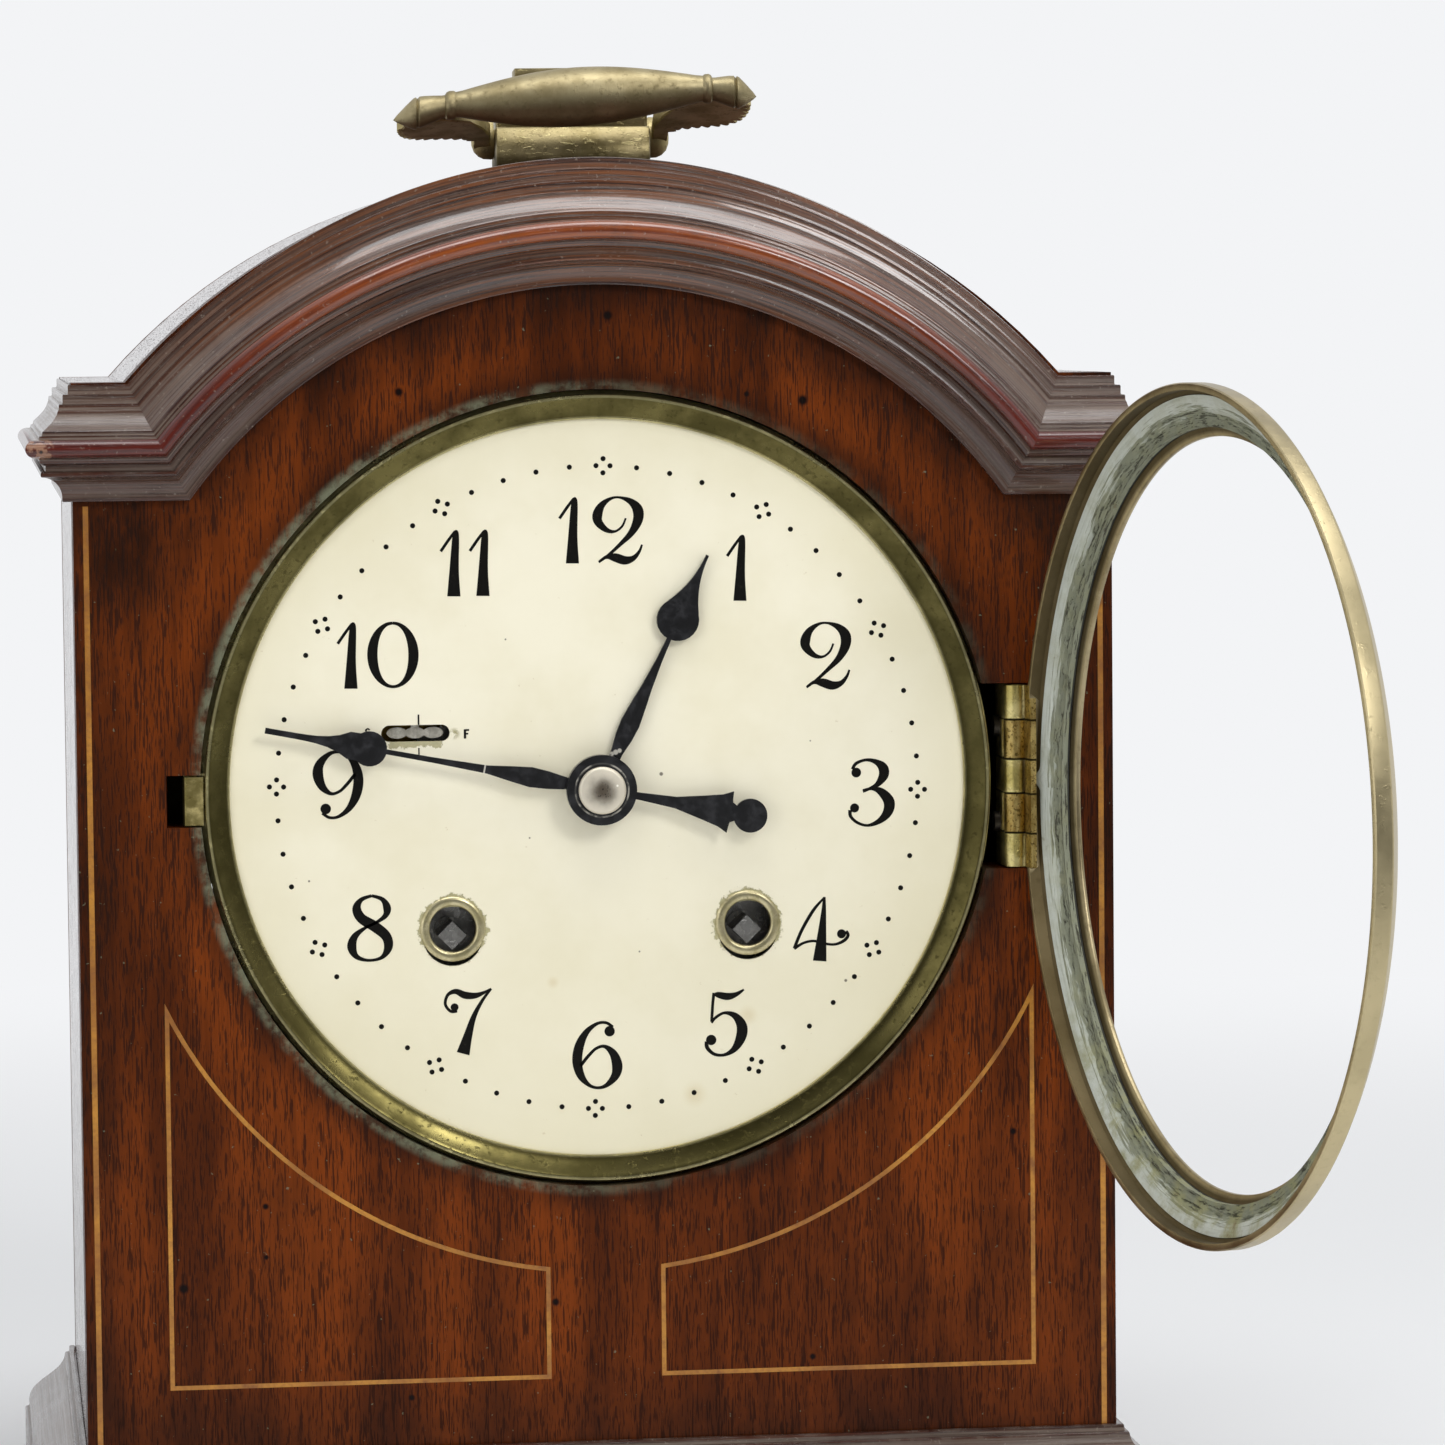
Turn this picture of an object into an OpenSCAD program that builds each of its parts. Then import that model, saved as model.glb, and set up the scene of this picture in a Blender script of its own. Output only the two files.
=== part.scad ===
// Break-arch bracket clock: mahogany case, brass bezel door, carrying handle and a two-train
// spring movement. The front faces -Y, the dial centre lies on x = 0 and the case rests on z = 0.
// Places on the dial and in the movement are [x, z] pairs measured from the dial centre.

/* [Case] */
// Width of the case body across its front
case_w = 214; // [204:1:232]
// Depth of the case body, front face to back face
case_d = 137; // [128:1:160]
// Height of the dial centre above the rest face
dial_h = 165; // [160:1:185]
// Rise of the flat shoulders above the dial centre
shoulder_rise = 84.5; // [80:0.5:95]
// Width of each flat shoulder beside the arch
shoulder_w = 10.9; // [7:0.1:15]
// Thickness of the front panel
front_t = 16; // [14:0.5:20]
// Thickness of the side panels
side_t = 9; // [6:0.5:12]
// Thickness of the bent top
top_t = 8; // [5:0.5:12]
// Thickness of the back frame and of the back door
back_t = 9; // [6:0.5:12]
// Thickness of the base board
base_t = 12; // [8:0.5:15]

/* [Cornice] */
// Height of the cornice moulding
cornice_h = 25; // [24:0.5:30]
// Projection of the lowest fillet
cornice_foot = 2.1; // [1:0.1:3]
// Height of the lowest fillet
foot_h = 1; // [0.5:0.1:1.6]
// Radius of the cove above the lowest fillet
cove_r = 4.3; // [3:0.1:4.6]
// Height of the quirk under the bead
quirk_z = 6.2; // [6:0.1:6.6]
// Height and depth of the quirk
quirk = 0.9; // [0.5:0.1:1.2]
// Radius of the half-round bead
bead_r = 2.35; // [1.5:0.05:2.6]
// Projection of the flat that the bead stands on
bead_seat = 7.1; // [5:0.1:8]

/* [Plinth] */
// Height of the plinth moulding
plinth_h = 30; // [26:0.5:34]
// Projection of the plinth moulding
plinth_out = 11.5; // [8:0.5:15]
// Height of the upright face of the plinth
plinth_face = 16.5; // [14:0.5:20]
// Projection of the top fillet of the plinth
plinth_lip = 1.4; // [1:0.1:2.5]

/* [Inlay] */
// Width of the corner stringing
string_w = 1.1; // [0.8:0.1:2]
// Distance of the corner stringing from the corner
string_in = 2; // [1.5:0.1:4]
// Width of the spandrel lines
line_w = 0.9; // [0.6:0.1:1.5]
// Depth of every inlay groove
inlay_d = 1.2; // [0.8:0.1:2]
// Distance of the spandrel's inner upright from the middle
spandrel_in = 11.5; // [8:0.5:16]
// Distance of the spandrel's outer upright from the middle
spandrel_out = 90; // [84:0.5:94]
// Depth of the spandrel's lower line under the dial centre
spandrel_low = 122; // [112:0.5:125]
// Radius of the spandrel's arc about the dial centre
spandrel_r = 99.4; // [97:0.1:101]

/* [Dial] */
// Radius of the round opening in the front panel
opening_r = 82.15; // [81.7:0.05:83]
// Outer radius of the fixed dial ring
ring_r = 81.1; // [80.5:0.1:81.5]
// Inner radius of the fixed dial ring, the visible dial
ring_in = 76; // [74:0.1:77]
// Distance of the dial's face behind the front panel's face
dial_set = 3; // [2.6:0.1:4]
// Thickness of the dial plate
dial_t = 1; // [0.8:0.1:1.4]
// Width of the ledge of the dial ring that the dial sits in
ring_wall = 1.6; // [1:0.1:2.5]
// Radius of the eyelet bores over the winding squares
eyelet_bore = 5.4; // [4.8:0.1:5.8]
// Outer radius of the eyelet flanges
eyelet_r = 6.7; // [6.5:0.1:7.5]
// Length of the regulator slot
slot_l = 14.1; // [13:0.1:16]
// Height of the regulator slot
slot_h = 3.4; // [3.3:0.1:4]
// Radius of the dial feet
foot_r = 2; // [1.5:0.1:3]

/* [Bezel] */
// Outer radius of the bezel
bezel_r = 84.2; // [83.6:0.1:85]
// Inner radius of the bezel's lip
bezel_in = 73.7; // [72:0.1:75]
// Depth of the bezel, back edge to lip
bezel_d = 8.7; // [8.2:0.1:9.4]
// Height of the bezel's outer wall
rim_h = 3.9; // [3.5:0.1:4.2]
// Wall of the spun bezel
bezel_wall = 1.5; // [1:0.1:2]
// Gap between the closed bezel and the front panel
bezel_gap = 0.3; // [0.2:0.1:0.8]
// Thickness of the missing glass, which the putty still shows
glass_t = 1.6; // [1.2:0.1:2]
// Sag of the worn bezel under the dial centre
bezel_drop = 1; // [0:0.1:1.2]
// Angle that the bezel stands open at rest
bezel_open = 102.3; // [0:0.1:103]

/* [Bezel hinge] */
// Distance of the hinge axis from the dial centre
hinge_x = 86.5; // [86.3:0.1:87]
// Height of the hinge's middle over the dial centre
hinge_rise = 1.2; // [-2:0.1:3]
// Distance of the hinge axis behind the panel's face
hinge_in = 0.5; // [0.3:0.1:0.6]
// Radius of the hinge knuckles
knuckle_r = 2.3; // [2:0.1:2.5]
// Length of a knuckle on the case side
knuckle_case = 7.1; // [6:0.1:8]
// Length of a knuckle on the bezel side
knuckle_door = 8.2; // [7:0.1:9]
// Radius of the hinge pins
pin_r = 1.1; // [0.8:0.05:1.3]
// Thickness of the hinge leaves
leaf_t = 1.2; // [0.9:0.1:1.4]
// Reach of the case leaf behind the panel's face
leaf_in = 11; // [9:0.5:13]

/* [Handle] */
// Half width of the handle's block
block_w = 17; // [15:0.5:19]
// Half depth of the handle's block
block_d = 20; // [17:0.5:22]
// Height of the block's lower tier
block_h = 9.3; // [8.5:0.1:11]
// Half width of the block's cap
cap_w = 12; // [10:0.5:14]
// Half depth of the block's cap
cap_d = 10; // [8:0.5:12]
// Height of the top of the cap over the case's crown
cap_h = 22; // [20:0.5:23]
// Thickness of the cap
cap_t = 2.2; // [1.5:0.1:3]
// How far right of the crown's middle the handle is screwed
handle_x = 2; // [-4:0.5:4]
// How far the handle has turned on its screw
handle_turn = 3.6; // [-8:0.1:8]
// Height of the handle's pivots over the case's crown
pivot_h = 7.3; // [6.6:0.1:8]
// Radius of the handle's trunnions
trunnion_r = 2; // [1.5:0.1:2.5]
// Radius of the bosses round the trunnions
boss_r = 3.6; // [3.2:0.1:4]
// Thickness of the bosses
boss_t = 3.6; // [3:0.1:5]
// Reach of the grip from the pivots
bail_reach = 32; // [30:0.5:38]
// Angle of the folded handle above the level
bail_tilt = 13.3; // [12:0.1:30]
// Twist of the bent grip, lower at its left end
bail_cant = 3.4; // [0:0.1:4]
// Half length of the grip between its collars
grip_half = 27; // [24:0.5:32]
// Largest radius of the grip
grip_r = 6.2; // [5:0.1:6.6]
// Radius of the grip at its collars
grip_neck = 2.6; // [2:0.1:3.2]
// Half length of the bail over its pointed ends
bail_half = 38; // [37:0.5:43]

/* [Hands] */
// Reach of the minute hand's point
minute_l = 70; // [64:0.5:71]
// Reach of the hour hand's point
hour_l = 52.9; // [48:0.5:56]
// Thickness of the hands
hand_t = 0.9; // [0.6:0.1:1]
// Angle of the minute hand, clockwise from the top
minute_a = 281; // [0:0.5:360]
// Angle of the hour hand, clockwise from the top
hour_a = 25.5; // [0:0.5:360]
// Radius of the minute hand's collar
collar_r = 7.25; // [6:0.05:8]
// Radius of the domed hand nut
nut_r = 4.9; // [4:0.1:5.5]
// Gap between the hands, and between the hands and the dial
hand_gap = 1; // [0.8:0.1:1.3]

/* [Movement] */
// Half width of the plates
plate_w = 55; // [54:0.5:58]
// Height of the plates over the dial centre
plate_top = 55; // [54:0.5:57]
// Depth of the plates under the dial centre
plate_low = 58; // [56:0.5:60]
// Thickness of the plates
plate_t = 2; // [1.5:0.1:3]
// Space between the plates
plate_gap = 34; // [34:0.5:40]
// Thickness of the brackets that carry the movement
bracket_t = 2; // [1.5:0.1:3]
// Width of the brackets
bracket_w = 12; // [8:0.5:14]
// Distance of the winding squares from the middle
wind_x = 30.6; // [30:0.1:31.5]
// Depth of the winding squares under the dial centre
wind_z = 30; // [29.5:0.1:31]
// Radius of the barrels
barrel_r = 21; // [18:0.5:21.5]
// Length of the barrels
barrel_l = 21.5; // [18:0.5:22]
// Wall of the barrels
barrel_wall = 1.4; // [1:0.1:2]
// Radius of the barrel arbors' journals
wind_r = 3; // [2.5:0.1:3.5]
// Side of the winding squares
square_s = 4.2; // [3.5:0.1:4.8]
// Radius of the pillars
pillar_r = 3.5; // [3:0.1:4]
// Radius of the train arbors
arbor_r = 1.2; // [1:0.1:1.3]
// Radius of the train pivots
pivot_r = 0.8; // [0.6:0.05:0.9]

/* [Trains] */
// Teeth of the great wheels on the barrels
great_n = 72; // [72:2:76]
// Leaves of the intermediate pinion and of the pin wheel's pinion
great_pinion_n = 12; // [12:1:13]
// Teeth of the intermediate wheel
inter_n = 60; // [58:1:62]
// Leaves of the centre pinion
centre_pinion_n = 12; // [12:1:13]
// Teeth of the centre wheel
centre_n = 64; // [60:1:66]
// Leaves of the third pinion
third_pinion_n = 8; // [8:1:9]
// Teeth of the third wheel
third_n = 60; // [56:1:62]
// Leaves of the fourth pinion
fourth_pinion_n = 8; // [8:1:9]
// Teeth of the fourth wheel
fourth_n = 80; // [76:1:82]
// Leaves of the escape pinion
escape_pinion_n = 8; // [8:1:9]
// Teeth of the escape wheel
escape_n = 15; // [13:1:16]
// Teeth of the cannon pinion
cannon_n = 12; // [12:1:12]
// Teeth of the minute wheel
minute_n = 36; // [36:1:36]
// Leaves of the minute pinion
minute_pinion_n = 10; // [10:1:10]
// Teeth of the hour wheel
hour_n = 40; // [40:1:40]
// Teeth of the pin wheel
pin_n = 64; // [60:1:66]
// Leaves of the locking wheel's pinion
locking_pinion_n = 8; // [8:1:9]
// Teeth of the locking wheel
locking_n = 56; // [52:1:58]
// Leaves of the fly's pinion
fly_pinion_n = 8; // [8:1:9]
// Pressure angle of all teeth
pressure_angle = 25; // [22:0.5:27]
// Share of each tooth that is taken off for play
play = 0.16; // [0.12:0.01:0.3]

/* [Strike] */
// Radius of the bell's mouth
bell_r = 28; // [24:0.5:29]
// Height of the bell
bell_h = 20; // [16:0.5:26]
// Wall of the bell
bell_t = 1.6; // [1:0.1:2.5]
// Length of the hammer's arm
hammer_l = 24; // [22:0.5:26]
// Radius of the hammer's head
hammer_r = 3.2; // [2.5:0.1:3.6]

/* [Back door] */
// Width of the back frame's stiles beside the door
door_stile = 32; // [28:0.5:45]
// Distance of the door opening's top under the shoulders
door_head = 41.5; // [38:0.5:60]
// Height of the opening's sill above the base board
door_sill = 18; // [12:1:24]
// Gap all round the door
door_gap = 0.6; // [0.4:0.1:1.5]
// Radius of the door hinges' knuckles
door_knuckle_r = 2.6; // [2.2:0.1:3]
// Length of each door hinge
door_hinge_l = 30; // [24:1:40]
// Radius of the door knob
knob_r = 6; // [4:0.5:8]

/* [Fits] */
// Running fit round pins and pivots, on the radius
fit = 0.05; // [0.03:0.01:0.1]
// Clearance between pieces that must not touch
clear = 0.4; // [0.3:0.05:0.6]

/* [Hidden] */
$fn = 96;
front_y = -case_d / 2;
back_y = case_d / 2;
panel_back = front_y + front_t;
frame_front = back_y - back_t;
half_w = case_w / 2;
shoulder_z = dial_h + shoulder_rise;
arch_chord = half_w - shoulder_w;
arch_r = norm([arch_chord, shoulder_rise]);
crown_z = dial_h + arch_r;
cornice_low = shoulder_rise - cornice_h;
arch_low_r = arch_r - cornice_h;
far = case_w;
dial_y = front_y + dial_set;
dial_back = dial_y + dial_t;
dial_r = ring_r - ring_wall - fit;
plate_f = panel_back + bracket_t;
plate_in = plate_f + plate_t;
plate_b = plate_in + plate_gap;
plate_out = plate_b + plate_t;
hinge_y = front_y + hinge_in;
hinge_z = dial_h + hinge_rise;
hinge_l = 3 * knuckle_case + 2 * knuckle_door;
pivot_z = crown_z + pivot_h;

// Places of the arbors, each worked out from its gears' pitch circles
great_m = 0.7;
inter_m = 0.55;
centre_m = 0.5;
third_m = 0.45;
fourth_m = 0.32;
cannon_m = 0.5;
hour_m = cannon_m * (cannon_n + minute_n) / (minute_pinion_n + hour_n);
pin_m = 0.5;
locking_m = 0.35;
addendum = 0.75;
dedendum = 1.1;
function mesh(m, a, b) = m * (a + b) / 2;
function polar(r, a) = [r * cos(a), r * sin(a)];
function bearing(a, b) = atan2(b[1] - a[1], b[0] - a[0]);
// The point at ra from a and rb from b, to the left of the line from a to b
function meet(a, b, ra, rb) =
  let (d = norm(b - a), s = (ra * ra - rb * rb + d * d) / (2 * d))
  a + polar(s, bearing(a, b)) + polar(sqrt(ra * ra - s * s), bearing(a, b) + 90);
centre_at = [0, 0];
going_at = [wind_x, -wind_z];
striking_at = [-wind_x, -wind_z];
inter_at = meet(centre_at, going_at, mesh(inter_m, inter_n, centre_pinion_n),
  mesh(great_m, great_n, great_pinion_n));
third_at = centre_at + polar(mesh(centre_m, centre_n, third_pinion_n), 118);
fourth_at = third_at + polar(mesh(third_m, third_n, fourth_pinion_n), 112);
escape_at = fourth_at + polar(mesh(fourth_m, fourth_n, escape_pinion_n), 165);
minute_at = centre_at + polar(mesh(cannon_m, cannon_n, minute_n), -20);
pin_at = striking_at + polar(mesh(great_m, great_n, great_pinion_n), 80);
locking_at = pin_at + polar(mesh(pin_m, pin_n, locking_pinion_n), 110);
fly_at = locking_at + polar(mesh(locking_m, locking_n, fly_pinion_n), 120);
hammer_at = pin_at + polar(18.5, 150);
rack_at = [-17, -33];
slot_at = [-37.75, 12];
balance_at = slot_at + [0, 18];
lever_at = escape_at + polar(5.8, bearing(escape_at, balance_at));
pillar_at = [[-30, 46], [30, 46], [-50, -2], [50, -2], [0, -52]];
foot_at = [[50, 36], [50, -42], [-50, -42]];
bracket_a = [45, 135, 225, 315];
bracket_from = ring_in - 8;
bracket_to = opening_r + 15.85;
bracket_plate_hole = bracket_from + 3.5;
bracket_wood_hole = opening_r + 9.85;

// Screws: shank radius, head radius, head height and grip in the piece behind
screw_r = 1.2;
screw_head = 2.6;
screw_head_t = 1.5;
screw_grip = 5;

// Turn of each gear about its own arbor that brings it into mesh at rest
function mate(turn, n, n2, phi) = phi + 180 - 360 / n2 * ((turn - phi) * n / 360 - 0.5);
third_turn = 0;
centre_turn = mate(third_turn, third_pinion_n, centre_n, bearing(third_at, centre_at));
inter_turn = mate(0, centre_pinion_n, inter_n, bearing(centre_at, inter_at));
great_turn = mate(0, great_pinion_n, great_n, bearing(inter_at, going_at));
fourth_turn = mate(0, third_n, fourth_pinion_n, bearing(third_at, fourth_at));
escape_turn = mate(0, fourth_n, escape_pinion_n, bearing(fourth_at, escape_at));
minute_turn = mate(0, cannon_n, minute_n, bearing(centre_at, minute_at));
hour_turn = mate(0, minute_pinion_n, hour_n, bearing(minute_at, centre_at));
strike_turn = mate(0, great_pinion_n, great_n, bearing(pin_at, striking_at));
pin_turn = mate(0, locking_pinion_n, pin_n, bearing(locking_at, pin_at));
fly_turn = mate(0, locking_n, fly_pinion_n, bearing(locking_at, fly_at));

// Depths of the wheels between the plates, from the front plate's inner face
great_g = 1.2;
drum_g = 3.6;
great_t = drum_g - great_g;
inter_g = plate_gap - 5.5;
centre_g = 16;
third_g = 7;
fourth_g = 2.2;
strike_g = drum_g + barrel_l;
pin_g = strike_g + great_t + 1.2;
locking_g = 21.5;
fly_g = 7;
wheel_t = 1.4;
leaf_l = 3;
// Where a pinion starts so that it stands centred on a wheel of thickness t
function astride(g, t = wheel_t) = g - (leaf_l - t) / 2;

// Depths of the pieces in front of the front plate, measured forward from it
platform_t = 2;
escape_f = 4;
flat_t = 0.6;
escape_cock_f = 5.8;
escape_cock_t = 0.8;
spring_f = 7.4;
rim_f = 8.8;
rim_t = 1.2;
cock_f = 10.9;
cock_t = 1.2;
index_f = 12.5;
index_t = 0.8;
cock_boss_r = 2;
ratchet_f = 0.6;
ratchet_t = 2;
cannon_f = 1.7;
motion_t = 1.5;
hour_f = 4.1;
snail_f = hour_f + motion_t;
rack_f = snail_f + 0.3;
rack_t = 1;

// Levels of the hands, front to back
hour_back = dial_y - hand_gap;
hour_front = hour_back - hand_t;
minute_back = hour_front - hand_gap;
minute_front = minute_back - hand_t;
collar_t = 2;
collar_front = minute_front - collar_t;
nut_t = 1.8;

// Radii of the nested pipes at the centre
cannon_r = 2.2;
hour_pipe_in = cannon_r + 2 * fit;
hour_pipe_r = 3.3;
dial_hole = hour_pipe_r + clear;

// Small fixed shapes
escape_r = 4.2;
ratchet_r = 9;
ratchet_n = 20;
spring_in = 6;
core_r = 5;
stud_r = 1.1;
staff_r = 0.5;
balance_r = 8;
trim = 0.5;
end_play = 0.2;
mitre_gap = 0.1;
eyelet_wall = 0.7;
lip_t = 1.2;
catch_w = 6.8;
catch_z = [-6.3, 4.4];
catch_d = 8;
tongue_t = 1.2;
roof_swell = 0.4;
putty_w = 5.4;

wood = "#5c2412";
dark_wood = "#41231b";
boxwood = "#c08a3a";
brass = "#8f7d50";
bright_brass = "#b59a4c";
steel = "#8c9096";
blued = "#17181c";
cream = "#ece4c6";

// Helpers that place flat outlines, rods and turned shapes
module along_y(y0, y1) {
  translate([0, y1, 0]) rotate([90, 0, 0]) linear_extrude(y1 - y0) children();
}
module rod_y(r, y0, y1) {
  translate([0, y1, 0]) rotate([90, 0, 0]) cylinder(r = r, h = y1 - y0);
}
module rod_x(r, x0, x1) {
  translate([x0, 0, 0]) rotate([0, 90, 0]) cylinder(r = r, h = x1 - x0);
}
module rod_z(r, z0, z1) {
  translate([0, 0, z0]) cylinder(r = r, h = z1 - z0);
}
module at_dial(p) {
  translate([p[0], 0, dial_h + p[1]]) children();
}
// Turns a [radius, forward] outline about an axis along Y, from depth y
module turned(y) {
  translate([0, y, 0]) rotate([90, 0, 0]) rotate_extrude($fn = 180) children();
}
// A straight bar of width w between two points
module link(a, b, w) {
  translate(a) rotate(bearing(a, b)) translate([0, -w / 2]) square([norm(b - a), w]);
}
module disc(p, r) {
  translate(p) circle(r = r);
}
function arc(c, r, a0, a1, n) = [for (i = [0:n]) c + polar(r, a0 + (a1 - a0) * i / n)];
// A hollow that falls back fast from a and rises more steeply to b
function hollow(a, b, n) = [for (i = [0:n])
  [b[0] + (a[0] - b[0]) * pow(1 - i / n, 1.5), a[1] + (b[1] - a[1]) * i / n]];
function ogee(a, b, n) = [for (i = [0:n])
  [b[0] + (a[0] - b[0]) * (1 + cos(180 * i / n)) / 2, a[1] + (b[1] - a[1]) * i / n]];

// Gears with involute flanks; a wheel's flank is one straight cut and a pinion's has three
function involute(a) = tan(a) * 180 / PI - a;
function half_tooth(r, m, n) = 90 / n * (1 - play) + involute(pressure_angle)
  - involute(acos(min(1, m * n / 2 * cos(pressure_angle) / r)));
function flank(m, n, side, cuts) = [for (s = [0:cuts])
  let (r = m * (n / 2 - dedendum + (addendum + dedendum) * s / cuts))
  [r, side * half_tooth(r, m, n)]];
function backwards(v) = [for (i = [len(v) - 1:-1:0]) v[i]];
function gear(m, n, cuts) = [for (i = [0:n - 1])
  each [for (p = concat(flank(m, n, -1, cuts), backwards(flank(m, n, 1, cuts))))
    polar(p[0], p[1] + 360 * i / n)]];
module pinion_outline(m, n) {
  polygon(gear(m, n, 3));
}
// A wheel with four crossings cut out between its hub and its rim
module wheel_outline(m, n, hub, bar) {
  difference() {
    polygon(gear(m, n, 1));
    difference() {
      circle(r = m * (n / 2 - dedendum) - bar);
      circle(r = hub);
      for (a = [0, 90]) rotate(a) square([m * n, bar], center = true);
    }
  }
}
// An arbor between the plates with a pivot at each end
module arbor(p, r = arbor_r) {
  at_dial(p) {
    rod_y(r, plate_in + clear, plate_b - clear);
    rod_y(pivot_r, plate_f + end_play, plate_out - end_play);
  }
}
// Puts a flat wheel between the plates, g behind the front plate's inner face
module between(p, g, t, turn) {
  at_dial(p) along_y(plate_in + g, plate_in + g + t) rotate(turn) children();
}
// Puts a flat piece f in front of the front plate
module before(p, f, t, turn) {
  at_dial(p) along_y(plate_f - f - t, plate_f - f) rotate(turn) children();
}

// Case
module case_outline() {
  translate([-half_w, base_t]) square([case_w, shoulder_z - base_t]);
  intersection() {
    translate([0, dial_h]) circle(r = arch_r, $fn = 180);
    translate([-arch_chord, dial_h]) square([2 * arch_chord, arch_r]);
  }
}
module base_board() {
  color(wood) translate([-half_w, front_y, 0]) cube([case_w, case_d, base_t]);
}
// Runs a [projection, height] outline along the front, and along the right side
module front_run(outline) {
  translate([half_w + far, front_y, 0]) rotate([90, 0, -90]) linear_extrude(2 * far + case_w)
    polygon(outline);
}
module side_run(outline) {
  translate([half_w, back_y, 0]) rotate([90, 0, 0]) linear_extrude(case_d + far) polygon(outline);
}
// Keeps what lies in front of the corner mitres, or to the right of the right one
module front_side() {
  translate([0, 0, -far]) linear_extrude(3 * far)
    polygon([[mitre_gap - half_w, front_y], [half_w - mitre_gap, front_y],
      [half_w + far - mitre_gap, front_y - far], [mitre_gap - half_w - far, front_y - far]]);
}
module right_side() {
  translate([0, 0, -far]) linear_extrude(3 * far)
    polygon([[half_w, back_y], [half_w + far, back_y], [half_w + far, front_y - far],
      [half_w, front_y]]);
}
plinth_step = 0.9;
plinth_top = 1.4;
plinth_outline = concat(
  [[0, 0], [plinth_out, 0], [plinth_out, plinth_face], [plinth_out - plinth_step, plinth_face]],
  ogee([plinth_out - plinth_step, plinth_face + plinth_top],
    [plinth_lip + plinth_step, plinth_h - plinth_top], 8),
  [[plinth_lip, plinth_h - plinth_top], [plinth_lip, plinth_h], [0, plinth_h]]);
module plinth_mouldings() {
  color(dark_wood) {
    intersection() {
      front_run(plinth_outline);
      front_side();
    }
    for (s = [0, 1]) mirror([s, 0, 0]) intersection() {
      side_run(plinth_outline);
      right_side();
    }
  }
}
bead_low = quirk_z + 2 * quirk;
bead_top = bead_low + 2 * bead_r;
cornice_step = 0.6;
neck_z = cornice_h - 4;
cornice_outline = concat(
  [[0, 0], [cornice_foot, 0]],
  arc([cornice_foot + cove_r, foot_h], cove_r, 180, 90, 5),
  [[cornice_foot + cove_r, quirk_z], [cornice_foot + cove_r - quirk, quirk_z],
    [cornice_foot + cove_r - quirk, quirk_z + quirk], [bead_seat, quirk_z + quirk]],
  arc([bead_seat, bead_low + bead_r], bead_r, -90, 90, 8),
  [[bead_seat - cornice_step, bead_top], [bead_seat - cornice_step, bead_top + 2 * cornice_step],
    [bead_seat - 2 * cornice_step, bead_top + 2 * cornice_step]],
  hollow([bead_seat - 3 * cornice_step, bead_top + 3 * cornice_step],
    [4 * cornice_step, neck_z - cornice_step], 5),
  [[4 * cornice_step, neck_z], [3 * cornice_step, neck_z], [3 * cornice_step, cornice_h - 2],
    [cornice_step, cornice_h - 2], [cornice_step, cornice_h], [0, cornice_h]]);
// The mitre between the arch and the level shoulders: the line where both have the same height
mitre = [for (i = [-1:7]) let (h = cornice_h * i / 6)
  [sqrt(pow(arch_low_r + h, 2) - pow(cornice_low + h, 2)), cornice_low + h]];
mitre_top = mitre[len(mitre) - 1];
cornice_raised = [for (p = cornice_outline) p + [0, dial_h + cornice_low]];
module arch_moulding() {
  color(dark_wood) intersection() {
    translate([0, 0, dial_h]) turned(front_y)
      polygon([for (p = cornice_outline) [arch_low_r + p[1], p[0]]]);
    at_dial([0, 0]) along_y(front_y - far, front_y)
      polygon(concat(mitre, [[mitre_top[0], far], [-mitre_top[0], far]],
        [for (p = backwards(mitre)) [-p[0], p[1]]]));
  }
}
module cornice_mouldings() {
  color(dark_wood) for (s = [0, 1]) mirror([s, 0, 0]) {
    intersection() {
      front_run(cornice_raised);
      front_side();
      at_dial([0, 0]) along_y(front_y - far, front_y)
        polygon(concat(mitre, [[far, mitre_top[1]], [far, mitre[0][1]]]));
    }
    intersection() {
      side_run(cornice_raised);
      right_side();
    }
  }
}
module spandrel(e) {
  difference() {
    translate([spandrel_in + e, e - spandrel_low])
      square([spandrel_out - spandrel_in - 2 * e, spandrel_low - e]);
    circle(r = spandrel_r + e, $fn = 180);
  }
}
module inlay_outline() {
  for (s = [0, 1]) mirror([s, 0]) {
    translate([half_w - string_in - string_w, plinth_h])
      square([string_w, dial_h + cornice_low - plinth_h]);
    translate([0, dial_h]) difference() {
      spandrel(0);
      spandrel(line_w);
    }
  }
}
module inlay_lines() {
  color(boxwood) along_y(front_y, front_y + inlay_d) inlay_outline();
}
notch_x = hinge_x - knuckle_r + leaf_t;
notch_z = hinge_z - hinge_l / 2 - clear;
notch_h = hinge_l + 2 * clear;
hinge_screw_z = [-10, 10];
hinge_screw_y = front_y + leaf_in - 4;
module front_panel() {
  color(wood) difference() {
    along_y(front_y, panel_back) difference() {
      case_outline();
      translate([0, dial_h]) circle(r = opening_r, $fn = 180);
      translate([0, notch_z]) square([notch_x, notch_h]);
    }
    along_y(front_y - 1, hinge_y + knuckle_r + clear)
      translate([0, notch_z]) square([hinge_x + knuckle_r + clear, notch_h]);
    along_y(front_y - 1, front_y + inlay_d) inlay_outline();
    at_dial([0, 0]) along_y(front_y - 1, front_y + catch_d)
      translate([-opening_r - catch_w, catch_z[0]]) square([opening_r, catch_z[1] - catch_z[0]]);
    for (a = bracket_a) at_dial(polar(bracket_wood_hole, a))
      rod_y(screw_r + fit, panel_back - 2 * screw_grip, panel_back + 1);
    for (z = hinge_screw_z) translate([0, hinge_screw_y, hinge_z + z])
      rod_x(screw_r + fit, notch_x - 1, notch_x + screw_grip);
  }
}
module side_panels() {
  color(wood) for (s = [0, 1]) mirror([s, 0, 0])
    translate([half_w - side_t, panel_back, base_t])
      cube([side_t, frame_front - panel_back, shoulder_z - top_t - base_t]);
}
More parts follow.
